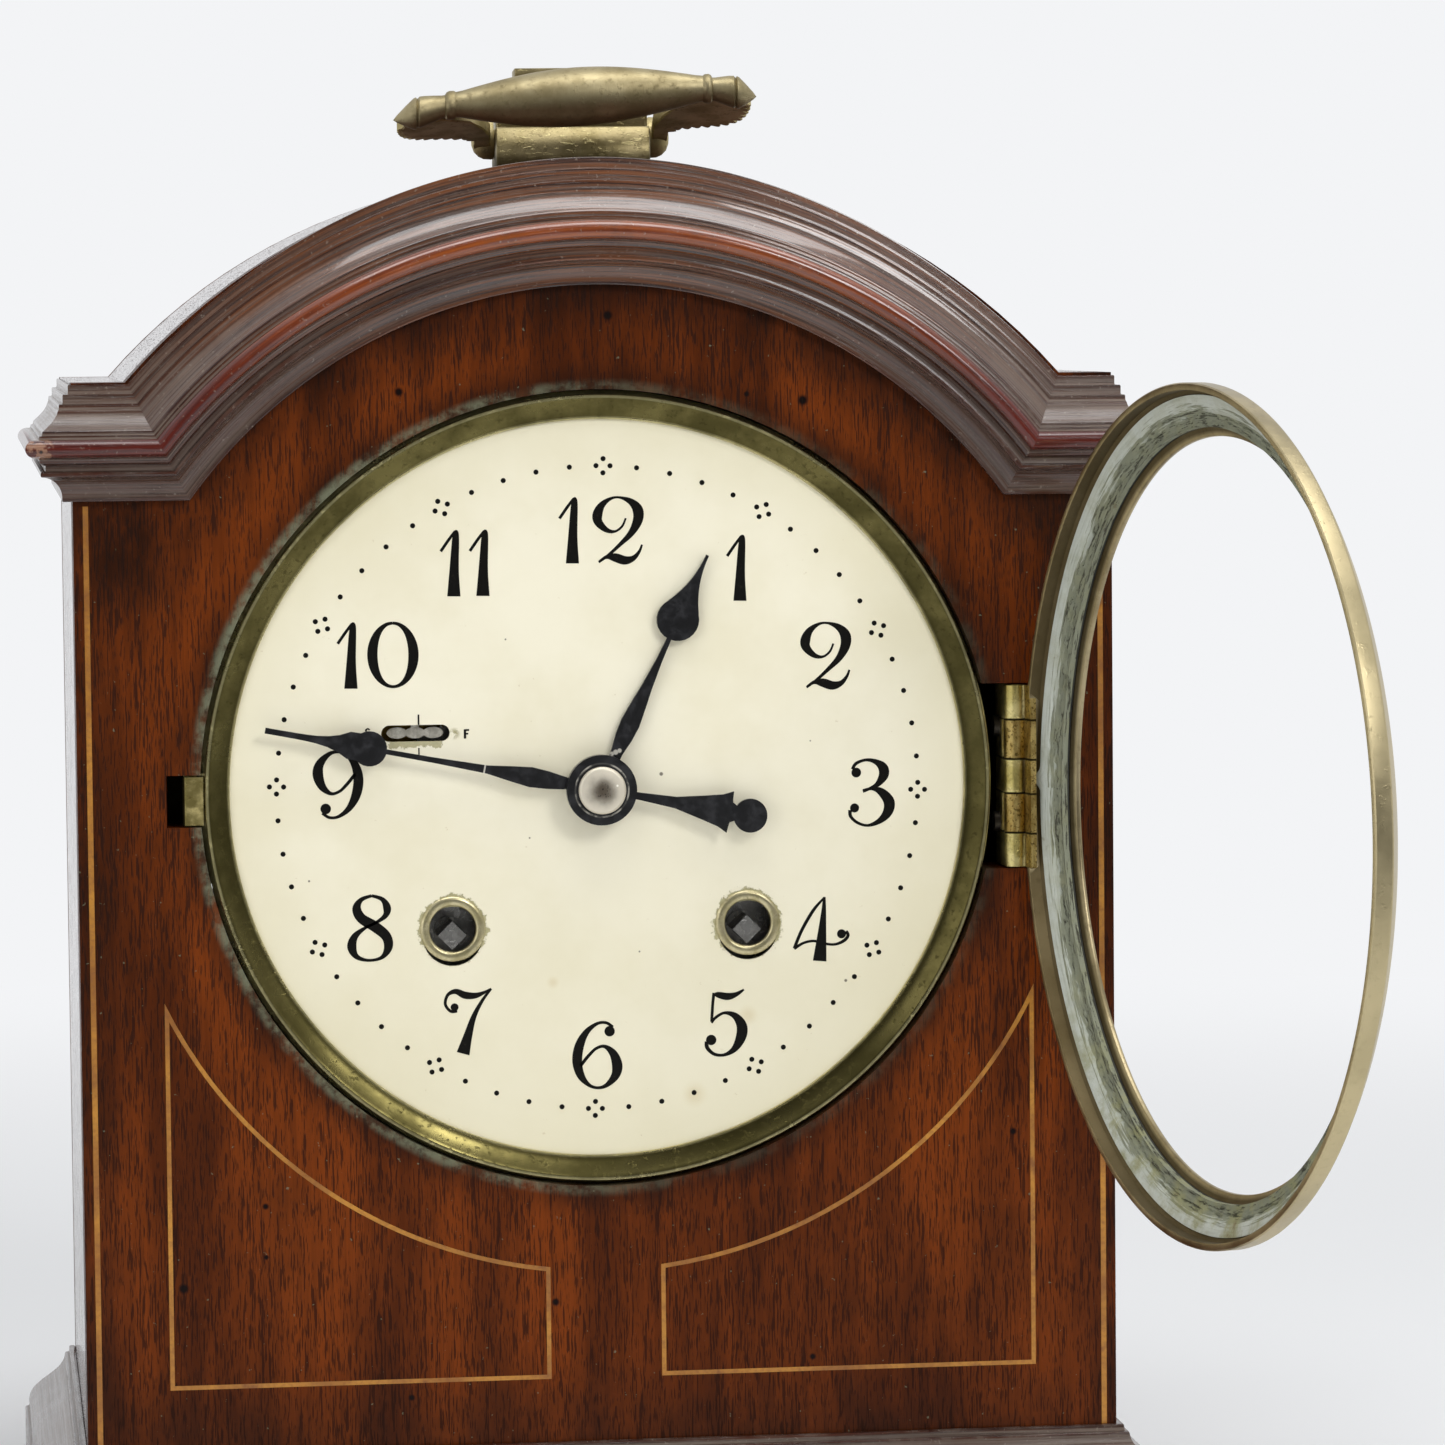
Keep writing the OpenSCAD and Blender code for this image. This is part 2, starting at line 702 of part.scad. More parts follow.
module case_top() {
  color(wood) along_y(panel_back, frame_front) difference() {
    intersection() {
      case_outline();
      translate([-half_w, shoulder_z - top_t]) square([case_w, arch_r]);
    }
    translate([0, dial_h]) circle(r = arch_r - top_t, $fn = 180);
  }
}
door_z = base_t + door_sill;
door_w = case_w - 2 * door_stile;
door_h = shoulder_z - door_head - door_z;
module back_frame() {
  color(wood) along_y(frame_front, back_y) difference() {
    case_outline();
    translate([-door_w / 2, door_z]) square([door_w, door_h]);
  }
}

// Back door, hung on two butt hinges and drawn open by a knob
field_in = 22;
field_d = 2;
module back_door() {
  color(wood) difference() {
    translate([door_gap - door_w / 2, frame_front, door_z + door_gap])
      cube([door_w - 2 * door_gap, back_t, door_h - 2 * door_gap]);
    translate([field_in - door_w / 2, back_y - field_d, door_z + field_in])
      cube([door_w - 2 * field_in, back_t, door_h - 2 * field_in]);
  }
}
door_axis = [door_w / 2 - door_gap / 2, back_y + door_knuckle_r + clear];
door_hinge_z = [door_z + 30, door_z + door_h - 30];
door_leaf_w = 15;
door_tab = door_hinge_l / 4;
// A butt hinge leaf: a plate beside the axis, and knuckles on the named spans
module butt_leaf(side, spans) {
  difference() {
    union() {
      for (s = spans) {
        translate([door_axis[0], door_axis[1], 0]) rod_z(door_knuckle_r, s[0], s[1]);
        translate([door_axis[0] - (side < 0 ? door_leaf_w : 0), back_y, s[0]])
          cube([door_leaf_w, leaf_t, s[1] - s[0]]);
      }
      translate([door_axis[0] + (side < 0 ? -door_leaf_w : door_knuckle_r + clear), back_y,
          -door_hinge_l / 2])
        cube([door_leaf_w - door_knuckle_r - clear, leaf_t, door_hinge_l]);
    }
    translate([door_axis[0], door_axis[1], 0]) rod_z(pin_r + fit, -door_hinge_l, door_hinge_l);
  }
}
module door_case_leaves() {
  color(brass) for (z = door_hinge_z) translate([0, 0, z])
    butt_leaf(1, [[-2 * door_tab, -door_tab], [door_tab, 2 * door_tab]]);
}
module door_leaves() {
  color(brass) for (z = door_hinge_z) translate([0, 0, z])
    butt_leaf(-1, [[fit - door_tab, door_tab - fit]]);
}
module door_knob() {
  neck = knob_r / 2;
  color(brass) translate([field_in / 2 - door_w / 2, back_y, door_z + door_h / 2])
    rotate([-90, 0, 0]) rotate_extrude()
      polygon(concat([[0, 0], [knob_r, 0], [knob_r, lip_t], [neck, 2 * lip_t]],
        arc([0, 2 * lip_t + knob_r], knob_r, -60, 90, 10)));
}

// Handle
module handle_block() {
  fillet_h = 0.8;
  bury = 3;
  fall = 2.5;
  neck_d = cap_d + 6;
  cove_r = 7.5;
  bulge = [for (i = [0:6]) let (t = i / 6)
    [block_d - fall * pow(t * 1.4 - 0.4, 2), fillet_h + (block_h - fillet_h) * t]];
  right_half = concat([[block_d - 1, -bury], [block_d - 1, fillet_h]], bulge);
  cove = arc([neck_d, cap_h - cap_t], cove_r, 270, 180, 6);
  color(brass) difference() {
    translate([handle_x, 0, crown_z]) rotate(-handle_turn) {
      translate([-block_w, 0, 0]) rotate([90, 0, 90]) linear_extrude(2 * block_w)
        polygon(concat(right_half, [for (p = backwards(right_half)) [-p[0], p[1]]]));
      translate([trim - cap_w, 0, 0]) rotate([90, 0, 90]) linear_extrude(2 * (cap_w - trim))
        polygon(concat([[neck_d, block_h - 1]], cove,
          [for (p = backwards(cove)) [-p[0], p[1]]], [[-neck_d, block_h - 1]]));
      translate([-cap_w, -cap_d, cap_h - cap_t]) cube([2 * cap_w, 2 * cap_d, cap_t]);
      translate([0, 0, pivot_h]) rod_x(trunnion_r, -block_w - boss_t - 2 * clear,
        block_w + boss_t + 2 * clear);
    }
    translate([0, 0, dial_h]) rod_y(arch_r, -case_d, case_d);
  }
}
module bail_handle() {
  boss_x = [block_w + clear, block_w + clear + boss_t];
  grip = [for (i = [-12:12]) let (x = grip_half * i / 12)
    [grip_neck + (grip_r - grip_neck) * cos(90 * i / 12), x]];
  collar_r = grip_neck + 0.6;
  arm_h = 3;
  web_y = -11;
  knob = [[collar_r, grip_half], [collar_r, grip_half + 1.6],
    [grip_neck - 0.2, grip_half + 2.6], [collar_r, bail_half - 4.5],
    [collar_r, bail_half - 3.2], [0, bail_half]];
  color(brass) translate([handle_x, 0, pivot_z]) rotate([-bail_tilt, 0, -handle_turn]) {
    difference() {
      union() {
        translate([0, -bail_reach, 0]) rotate([0, 90 - bail_cant, 0]) rotate_extrude()
          polygon(concat([for (p = backwards(knob)) [p[0], -p[1]]], grip, knob));
        for (s = [0, 1]) mirror([s, 0, 0]) {
          rod_x(boss_r, boss_x[0], boss_x[1]);
          linear_extrude(arm_h, center = true)
            polygon([[boss_x[0], 0], [boss_x[1], 0], [boss_x[1], web_y],
              [bail_half - 7, web_y - 2.2], [bail_half - 2.5, web_y - 7],
              [bail_half - 1.5, 2 - bail_reach], [bail_half - 10, 1 - bail_reach],
              [boss_x[0] + 3, 9 - bail_reach], [boss_x[0], web_y - 3]]);
        }
      }
      rod_x(trunnion_r + fit, -bail_half, bail_half);
    }
  }
}

// Dial
module dial_ring() {
  color(brass) translate([0, 0, dial_h]) turned(front_y)
    polygon([[ring_r, -trim], [ring_r - 0.9, -trim], [ring_in, trim - dial_set],
      [ring_in, -dial_set], [ring_r - ring_wall, -dial_set],
      [ring_r - ring_wall, -dial_set - dial_t - lip_t], [ring_r, -dial_set - dial_t - lip_t]]);
}
// The regulator's slot, round at both ends
module slot() {
  reach = [(slot_l - slot_h) / 2, 0];
  link(slot_at - reach, slot_at + reach, slot_h);
  for (i = [-1, 1]) disc(slot_at + i * reach, slot_h / 2);
}
module dial() {
  color(cream) {
    at_dial([0, 0]) along_y(dial_y, dial_back) difference() {
      circle(r = dial_r, $fn = 180);
      circle(r = dial_hole);
      for (p = [going_at, striking_at]) disc(p, eyelet_bore + eyelet_wall + fit);
      slot();
    }
    for (p = foot_at) at_dial(p) rod_y(foot_r, dial_back, plate_f);
  }
}
module winding_eyelets() {
  color(bright_brass) for (p = [going_at, striking_at]) at_dial(p) difference() {
    union() {
      rod_y(eyelet_r, dial_y - trim, dial_y);
      rod_y(eyelet_bore + eyelet_wall, dial_y - trim, dial_back);
    }
    rod_y(eyelet_bore, dial_y - 1, dial_back + 1);
  }
}
module catch_tongue() {
  rise = [catch_z[0] + clear, catch_z[1] - catch_z[0] - 2 * clear];
  leg_x = -opening_r - trim;
  color(bright_brass) at_dial([0, 0]) translate([0, front_y, rise[0]]) {
    translate([leg_x, trim, 0]) cube([tongue_t, catch_d - trim, rise[1]]);
    translate([leg_x - 3, trim, 0]) cube([3 + tongue_t, tongue_t, rise[1]]);
    translate([leg_x - catch_w + 1, catch_d - tongue_t, 0]) cube([catch_w - 1, tongue_t, rise[1]]);
  }
}

// Bezel door, drawn closed and then swung open about its hinge
module swing() {
  translate([hinge_x, hinge_y, 0]) rotate([0, 0, bezel_open]) translate([-hinge_x, -hinge_y, 0])
    children();
}
bezel_y = front_y - bezel_gap;
bezel_z = dial_h - bezel_drop;
skirt_r = bezel_r - bezel_wall;
glass_r = bezel_in + 1.8;
glass_edge = bezel_d - bezel_wall - trim;
bezel_leaf_x = hinge_x - knuckle_r - 3.6;
// The bezel's roof runs in from its wall to its lip with a slight swell
function swell(a, b, n) = [for (i = [0:n])
  let (s = i / n, d = b - a)
  a + s * d + roof_swell * sin(180 * s) * [d[1], -d[0]] / norm(d)];
roof_under = swell([skirt_r, rim_h - bezel_wall], [bezel_in + lip_t, bezel_d - bezel_wall], 12);
// Room cut in the rim for the hinge: the leaf's seat, and a groove round the knuckles
module hinge_room(spare) {
  translate([bezel_leaf_x - spare, hinge_y - knuckle_r - spare, hinge_z - hinge_l / 2 - spare])
    cube([bezel_r, far, hinge_l + 2 * spare]);
  translate([hinge_x, hinge_y, hinge_z])
    rod_z(knuckle_r + clear, -hinge_l / 2 - spare, hinge_l / 2 + spare);
}
module bezel() {
  color(brass) swing() difference() {
    translate([0, 0, bezel_z]) turned(bezel_y)
      polygon(concat([[skirt_r, 0], [bezel_r, 0], [bezel_r, rim_h - trim]],
        swell([bezel_r - trim, rim_h], [bezel_in + lip_t, bezel_d], 8),
        [[bezel_in, bezel_d - trim], [bezel_in, bezel_d - lip_t]], backwards(roof_under)));
    hinge_room(0);
  }
}
module glazing_putty() {
  inner = glass_r + fit;
  seat = [for (p = roof_under) if (p[0] > inner + lip_t && p[0] < inner + putty_w) p - [0, fit]];
  color("#b4b6ae") swing() translate([0, 0, bezel_z]) turned(bezel_y)
    polygon(concat([[inner, glass_edge - glass_t], seat[0] - [0, trim]], seat, [[inner, glass_edge]]));
}
knuckle_ends = [for (i = [0:5])
  ceil(i / 2) * knuckle_case + floor(i / 2) * knuckle_door - hinge_l / 2];
module hinge_case_leaf() {
  plate_x = hinge_x - knuckle_r;
  color(bright_brass) difference() {
    translate([0, 0, hinge_z]) {
      for (i = [0, 2, 4]) {
        translate([hinge_x, hinge_y, 0])
          rod_z(knuckle_r, knuckle_ends[i] + fit, knuckle_ends[i + 1] - fit);
        translate([plate_x, hinge_y, knuckle_ends[i] + fit])
          cube([leaf_t, leaf_in - hinge_in, knuckle_ends[i + 1] - knuckle_ends[i] - 2 * fit]);
      }
      translate([plate_x, hinge_y + knuckle_r + clear, -hinge_l / 2])
        cube([leaf_t, leaf_in - hinge_in - knuckle_r - clear, hinge_l]);
    }
    translate([hinge_x, hinge_y, hinge_z]) rod_z(pin_r + fit, -hinge_l, hinge_l);
    for (z = hinge_screw_z) translate([0, hinge_screw_y, hinge_z + z])
      rod_x(screw_r + fit, plate_x - 1, plate_x + leaf_t + 1);
  }
}
module hinge_bezel_leaf() {
  leaf_y = hinge_y - knuckle_r;
  color(bright_brass) swing() difference() {
    translate([0, 0, hinge_z]) {
      for (i = [1, 3]) {
        translate([hinge_x, hinge_y, 0])
          rod_z(knuckle_r, knuckle_ends[i] + fit, knuckle_ends[i + 1] - fit);
        translate([bezel_leaf_x, leaf_y, knuckle_ends[i] + fit])
          cube([hinge_x - bezel_leaf_x, leaf_t, knuckle_ends[i + 1] - knuckle_ends[i] - 2 * fit]);
      }
      translate([bezel_leaf_x, leaf_y, -hinge_l / 2])
        cube([hinge_x - knuckle_r - clear - bezel_leaf_x, leaf_t, hinge_l]);
    }
    translate([hinge_x, hinge_y, hinge_z]) rod_z(pin_r + fit, -hinge_l, hinge_l);
  }
}
module hinge_pins() {
  color(bright_brass) {
    translate([hinge_x, hinge_y, hinge_z]) rod_z(pin_r, -hinge_l / 2, hinge_l / 2);
    for (z = door_hinge_z) translate([door_axis[0], door_axis[1], z])
      rod_z(pin_r, -door_hinge_l / 2, door_hinge_l / 2);
  }
}

// Hands, drawn pointing up and then turned to the time
// A closed outline from half widths [half width, height] up one side and down the other
function both_sides(v) = concat(v, [for (p = backwards(v)) [-p[0], p[1]]]);
// A pear: a round foot of radius r at height at, drawn in to a blunt tip, faster where fall is larger
function pear(at, r, tip, tip_half, fall) = both_sides(concat(
  [for (i = [0:9]) [0, at] + polar(r, 14 * i - 88)],
  [for (i = [0:8]) let (s = 0.2 + 0.8 * i / 8)
    [tip_half + (0.77 * r - tip_half) * pow((1 - s) / 0.8, fall), at + (tip - at) * s]]));
// Minute hand outline in hundredths of the hand's length
module minute_outline() {
  u = minute_l / 100;
  circle(r = collar_r - 1);
  polygon(u * both_sides([[1, 0], [1.7, 10], [2.6, 16], [2.95, 21], [2.2, 27], [1.2, 34], [0.8, 50],
    [0.7, 66]]));
  polygon(u * pear(69.1, 5.15, 100, 0.85, 5));
  polygon(u * both_sides([[2, -41], [3, -39.2], [4.4, -39], [6.2, -38.9], [4.8, -36], [3.7, -31.5],
    [1.7, -22.5], [1.1, -12], [1, 0]]));
  translate(u * [0, -45]) circle(r = 5 * u);
}
module minute_hand() {
  color(blued) at_dial([0, 0]) difference() {
    union() {
      along_y(minute_front, minute_back) rotate(-minute_a) minute_outline();
      rod_y(collar_r, collar_front, minute_front);
    }
    rod_y(cannon_r + fit, collar_front - 1, minute_back + 1);
  }
}
// Hour hand outline in hundredths of the hand's length
module hour_outline() {
  u = hour_l / 100;
  circle(r = hour_pipe_r + 2.3);
  polygon(u * both_sides([[1.6, 0], [2.4, 16], [3.4, 22], [3.8, 28], [3, 36], [2.1, 43.5], [1.2, 55],
    [0.8, 66]]));
  polygon(u * pear(72.4, 8.3, 100, 0.57, 2.2));
}
module hour_hand() {
  color(blued) at_dial([0, 0]) difference() {
    along_y(hour_front, hour_back) rotate(-hour_a) hour_outline();
    rod_y(hour_pipe_r + fit, hour_front - 1, hour_back + 1);
  }
}
module hand_nut() {
  dome = [for (i = [0:6]) [nut_r * cos(15 * i), nut_t * sin(15 * i)]];
  color(steel) translate([0, 0, dial_h]) turned(collar_front) polygon(concat([[0, 0]], dome));
}

// Movement frame
pivots = [inter_at, third_at, fourth_at, pin_at, locking_at, fly_at];
module plate_outline() {
  difference() {
    translate([-plate_w, -plate_low]) square([2 * plate_w, plate_low + plate_top]);
    for (p = pivots) disc(p, pivot_r + fit);
    for (p = [going_at, striking_at]) disc(p, wind_r + fit);
    for (p = pillar_at) disc(p, screw_r + fit);
    for (a = bracket_a) disc(polar(bracket_plate_hole, a), screw_r + fit);
    children();
  }
}
module front_plate() {
  color(bright_brass) {
    at_dial([0, 0]) along_y(plate_f, plate_in) plate_outline() {
      disc(centre_at, arbor_r + fit);
      disc(hammer_at, pivot_r + fit);
      disc(escape_at, 2 * arbor_r);
    }
    at_dial(minute_at) rod_y(stud_r, plate_f - snail_f - rack_t, plate_f);
    at_dial(rack_at) rod_y(stud_r, plate_f - rack_f - rack_t - trim, plate_f);
  }
}
module back_plate() {
  color(bright_brass) at_dial([0, 0]) along_y(plate_b, plate_out) plate_outline() {
    disc(centre_at, pivot_r + fit);
    disc(hammer_at, arbor_r + fit);
  }
}
module pillars() {
  color(bright_brass) for (p = pillar_at) at_dial(p) difference() {
    rod_y(pillar_r, plate_in, plate_b);
    rod_y(screw_r + fit, plate_in - 1, plate_in + screw_grip + clear);
    rod_y(screw_r + fit, plate_b - screw_grip - clear, plate_b + 1);
  }
}
module movement_brackets() {
  color(steel) at_dial([0, 0]) along_y(panel_back, plate_f) for (a = bracket_a) rotate(a)
    difference() {
      translate([bracket_from, -bracket_w / 2]) square([bracket_to - bracket_from, bracket_w]);
      for (r = [bracket_plate_hole, bracket_wood_hole]) disc([r, 0], screw_r + fit);
    }
}
// A screw along Y with its head at y, pointing to the back (1) or to the front (-1)
module screw_y(y, way, length) {
  rod_y(screw_head, way > 0 ? y - screw_head_t : y, way > 0 ? y : y + screw_head_t);
  rod_y(screw_r, way > 0 ? y - trim : y - length, way > 0 ? y + length : y + trim);
}
module screws() {
  color(steel) {
    for (p = pillar_at) at_dial(p) {
      screw_y(plate_f, 1, plate_t + screw_grip);
      screw_y(plate_out, -1, plate_t + screw_grip);
    }
    for (a = bracket_a) {
      at_dial(polar(bracket_plate_hole, a)) screw_y(panel_back, 1, bracket_t + plate_t);
      at_dial(polar(bracket_wood_hole, a)) screw_y(plate_f, -1, bracket_t + screw_grip);
    }
    for (z = hinge_screw_z) translate([hinge_x - knuckle_r, hinge_screw_y, hinge_z + z]) {
      rod_x(screw_head - trim, -lip_t, 0);
      rod_x(screw_r, -trim, leaf_t + screw_grip - clear);
    }
  }
}

// Barrels, mainsprings and winding arbors
module barrel(p, wheel_g, turn) {
  color(bright_brass) difference() {
    union() {
      at_dial(p) difference() {
        rod_y(barrel_r, plate_in + drum_g, plate_in + drum_g + barrel_l);
        rod_y(barrel_r - barrel_wall, plate_in + drum_g + barrel_wall,
          plate_in + drum_g + barrel_l - barrel_wall);
      }
      between(p, wheel_g, great_t, turn) polygon(gear(great_m, great_n, 1));
    }
    at_dial(p) rod_y(wind_r + fit, plate_in, plate_b);
  }
}
module going_barrel() {
  barrel(going_at, great_g, great_turn);
}
module strike_barrel() {
  barrel(striking_at, drum_g + barrel_l, strike_turn);
}
module mainspring(p) {
  slack = barrel_wall + clear;
  color(steel) at_dial(p) difference() {
    rod_y(barrel_r - slack, plate_in + drum_g + slack, plate_in + drum_g + barrel_l - slack);
    rod_y(spring_in, plate_in, plate_b);
  }
}
module going_mainspring() {
  mainspring(going_at);
}
module strike_mainspring() {
  mainspring(striking_at);
}
// Teeth that lean one way: each falls by its depth within a share of its pitch
module saw_teeth(r, n, depth, share) {
  polygon([for (i = [0:n - 1]) each [polar(r, 360 * i / n), polar(r - depth, 360 * (i + share) / n)]]);
}
module winding_arbor(p) {
  square_y = dial_back + trim;
  color(steel) {
    at_dial(p) {
      rod_y(wind_r, plate_f - ratchet_f - ratchet_t - 1, plate_out + 1);
      rod_y(core_r, plate_in + drum_g + barrel_wall + clear,
        plate_in + drum_g + barrel_l - barrel_wall - clear);
      along_y(square_y, plate_f - ratchet_f) rotate(45) square(square_s, center = true);
    }
    before(p, ratchet_f, ratchet_t, 0) saw_teeth(ratchet_r, ratchet_n, 1.2, 0.15);
  }
}
module going_winding_arbor() {
  winding_arbor(going_at);
}
module strike_winding_arbor() {
  winding_arbor(striking_at);
}
module clicks() {
  stud = ratchet_r + 5;
  click_r = 2.4;
  click_w = 2.2;
  tip = [7.5, clear - ratchet_r * 0.86];
  color(steel) for (s = [0, 1]) mirror([s, 0, 0]) {
    before(going_at, ratchet_f, ratchet_t, 0) {
      disc([0, -stud], click_r);
      link([0, -stud], tip, click_w);
    }
    at_dial(going_at + [0, -stud]) rod_y(stud_r, plate_f - ratchet_f - trim, plate_f);
  }
}

// Going train
module intermediate_wheel() {
  color(bright_brass) {
    arbor(inter_at);
    between(inter_at, astride(great_g, great_t), leaf_l, 0) pinion_outline(great_m, great_pinion_n);
    between(inter_at, inter_g, wheel_t, inter_turn) wheel_outline(inter_m, inter_n, 4, 2);
  }
}
module centre_wheel() {
  color(bright_brass) {
    at_dial(centre_at) {
      rod_y(arbor_r, minute_back, plate_b - clear);
      rod_y(pivot_r, plate_b - 1, plate_out - end_play);
    }
    between(centre_at, astride(inter_g), leaf_l, 0) pinion_outline(inter_m, centre_pinion_n);
    between(centre_at, centre_g, wheel_t, centre_turn) wheel_outline(centre_m, centre_n, 4, 2);
  }
}
module third_wheel() {
  color(bright_brass) {
    arbor(third_at);
    between(third_at, astride(centre_g), leaf_l, third_turn) pinion_outline(centre_m, third_pinion_n);
    between(third_at, third_g, wheel_t, 0) wheel_outline(third_m, third_n, 4, 2);
  }
}
module fourth_wheel() {
  color(bright_brass) {
    arbor(fourth_at);
    between(fourth_at, astride(third_g), leaf_l, fourth_turn) pinion_outline(third_m, fourth_pinion_n);
    between(fourth_at, fourth_g, rim_t, 0) wheel_outline(fourth_m, fourth_n, 3, 1.4);
  }
}
module escape_wheel() {
  color(bright_brass) {
    at_dial(escape_at) {
      rod_y(pivot_r, plate_f - escape_cock_f + clear, plate_in + fourth_g + leaf_l);
      rod_y(staff_r, plate_f - escape_cock_f - escape_cock_t, plate_in);
    }
    between(escape_at, astride(fourth_g, rim_t), leaf_l, escape_turn)
      pinion_outline(fourth_m, escape_pinion_n);
    before(escape_at, escape_f, flat_t, 0)
      saw_teeth(escape_r, escape_n, 1.1, 0.3);
  }
}
module pallet_lever() {
  reach = escape_r + 1.3;
  pallet_a = 48;
  hub_r = 1.2;
  fork_l = 2.4;
  fork_w = 1;
  arm_w = 0.8;
  to_lever = bearing(escape_at, lever_at);
  color(steel) {
    at_dial(lever_at) rod_y(staff_r, plate_f - escape_cock_f - escape_cock_t, plate_f - trim);
    before([0, 0], escape_f, flat_t, 0) {
      disc(lever_at, hub_r);
      link(lever_at, lever_at + polar(fork_l, to_lever), fork_w);
      for (a = [-pallet_a, pallet_a]) link(lever_at, escape_at + polar(reach, to_lever + a), arm_w);
    }
  }
}
module balance_wheel() {
  color(bright_brass) {
    at_dial(balance_at) {
      rod_y(staff_r, plate_f - cock_f - cock_t, plate_f - trim);
      rod_y(pivot_r, plate_f - cock_f + clear, plate_f - platform_t - clear);
      rod_y(2 * pivot_r, plate_f - escape_f - flat_t, plate_f - escape_f);
    }
    before(balance_at, rim_f, rim_t, 0) {
      difference() {
        circle(r = balance_r);
        circle(r = balance_r - rim_t);
      }
      square([2 * balance_r - rim_t, rim_t], center = true);
    }
  }
}
module hairspring() {
  turns = 5;
  steps = 16 * turns;
  ribbon = 0.16;
  inner = pivot_r + 0.02;
  outer = 4.82;
  spiral = [for (i = [0:steps]) [inner + (outer - inner) * i / steps, 360 * turns * i / steps]];
  color(steel) before(balance_at, spring_f, flat_t, 0)
    polygon(concat([for (p = spiral) polar(p[0], p[1])],
      [for (p = backwards(spiral)) polar(p[0] + ribbon, p[1])]));
}
module regulator() {
  boss_r = 3.4;
  arm_w = 1.6;
  lobe = [2.1, 1.15];
  color(steel) before([0, 0], index_f, index_t, 0) difference() {
    union() {
      disc(balance_at, boss_r);
      link(balance_at, slot_at, arm_w);
      for (i = [-1:1])
        translate(slot_at + [i * (2 * lobe[0] - trim), 0]) scale(lobe) circle(r = 1, $fn = 24);
    }
    disc(balance_at, cock_boss_r + fit);
  }
}
module platform() {
  cock_foot = balance_at + [-balance_r - 3, 0];
  cock_foot_r = 2;
  cock_eye_r = 3.4;
  bridge_foot = escape_at + [4.6, 4.6];
  bridge_foot_r = 1.6;
  bridge_eye_r = 1.4;
  side = 6;
  half_h = 11;
  color(bright_brass) difference() {
    union() {
      before([0, 0], 0, platform_t, 0) translate(balance_at - [balance_r + side, half_h + trim])
        square([escape_at[0] - balance_at[0] + balance_r + 2 * side, 2 * half_h]);
      at_dial(cock_foot) rod_y(cock_foot_r, plate_f - cock_f - cock_t, plate_f - platform_t);
      before([0, 0], cock_f, cock_t, 0) {
        disc(balance_at, cock_eye_r);
        link(cock_foot, balance_at, 2 * cock_foot_r);
      }
      at_dial(balance_at) rod_y(cock_boss_r, plate_f - index_f - index_t - 0.1, plate_f - cock_f);
      at_dial(bridge_foot)
        rod_y(bridge_foot_r, plate_f - escape_cock_f - escape_cock_t, plate_f - platform_t);
      before([0, 0], escape_cock_f, escape_cock_t, 0) {
        for (p = [lever_at, escape_at]) disc(p, bridge_eye_r);
        link(escape_at, lever_at, 2);
        link(bridge_foot, escape_at, 2.4);
      }
    }
    at_dial(escape_at) {
      rod_y(staff_r + fit, plate_f - cock_f, plate_f - platform_t);
      rod_y(pivot_r + fit, plate_f - platform_t - trim, plate_f + 1);
    }
    at_dial(lever_at) rod_y(staff_r + fit, plate_f - cock_f, plate_f + 1);
    at_dial(balance_at) rod_y(staff_r + fit, plate_f - cock_f - cock_t, plate_f + 1);
  }
}

// Motion work under the dial
module cannon_pinion() {
  color(steel) difference() {
    union() {
      before(centre_at, cannon_f - 0.3, motion_t + 0.6, 0) pinion_outline(cannon_m, cannon_n);
      at_dial(centre_at) rod_y(cannon_r, minute_front - 1, plate_f - cannon_f);
    }
    at_dial(centre_at) rod_y(arbor_r + fit, minute_back - trim, plate_f);
  }
}
module minute_wheel() {
  color(bright_brass) difference() {
    union() {
      before(minute_at, cannon_f, motion_t, minute_turn) wheel_outline(cannon_m, minute_n, 3.4, 1.6);
      before(minute_at, cannon_f, snail_f - cannon_f, 0) pinion_outline(hour_m, minute_pinion_n);
    }
    at_dial(minute_at) rod_y(stud_r + fit, plate_f - far, plate_f);
  }
}
module hour_wheel() {
  snail_in = 4.6;
  snail_step = 0.35;
  dwell = 29;
  color(bright_brass) difference() {
    union() {
      before(centre_at, hour_f, motion_t, hour_turn) polygon(gear(hour_m, hour_n, 1));
      before(centre_at, snail_f, rack_t, 0)
        polygon([for (i = [0:11]) let (r = snail_in + snail_step * i)
          each [polar(r, 30 * i), polar(r, 30 * i + dwell)]]);
      at_dial(centre_at) rod_y(hour_pipe_r, hour_front, plate_f - hour_f);
    }
    at_dial(centre_at) rod_y(hour_pipe_in, hour_front - 1, plate_f);
  }
}

// Strike train, hammer, bell and rack
module pin_wheel() {
  pins = 8;
  ring_of_pins = 13.2;
  pin_r = 0.6;
  pin_l = 1.4;
  color(bright_brass) {
    arbor(pin_at);
    between(pin_at, astride(drum_g + barrel_l, great_t), leaf_l, 0) pinion_outline(great_m, great_pinion_n);
    between(pin_at, pin_g, wheel_t, pin_turn) wheel_outline(pin_m, pin_n, 4, 2.6);
    for (i = [1:pins]) at_dial(pin_at + polar(ring_of_pins, 360 * i / pins))
      rod_y(pin_r, plate_in + pin_g, plate_in + pin_g + wheel_t + pin_l);
  }
}
module locking_wheel() {
  color(bright_brass) {
    arbor(locking_at);
    at_dial(locking_at) rod_y(pivot_r, plate_f - rack_f - rack_t, plate_f + 1);
    between(locking_at, astride(pin_g), leaf_l, 0) pinion_outline(pin_m, locking_pinion_n);
    between(locking_at, locking_g, wheel_t, 0) wheel_outline(locking_m, locking_n, 3, 1.6);
    before(locking_at, rack_f, rack_t, 0) {
      circle(r = 1.3);
      translate([0, -trim]) square([2, 2 * trim]);
    }
  }
}
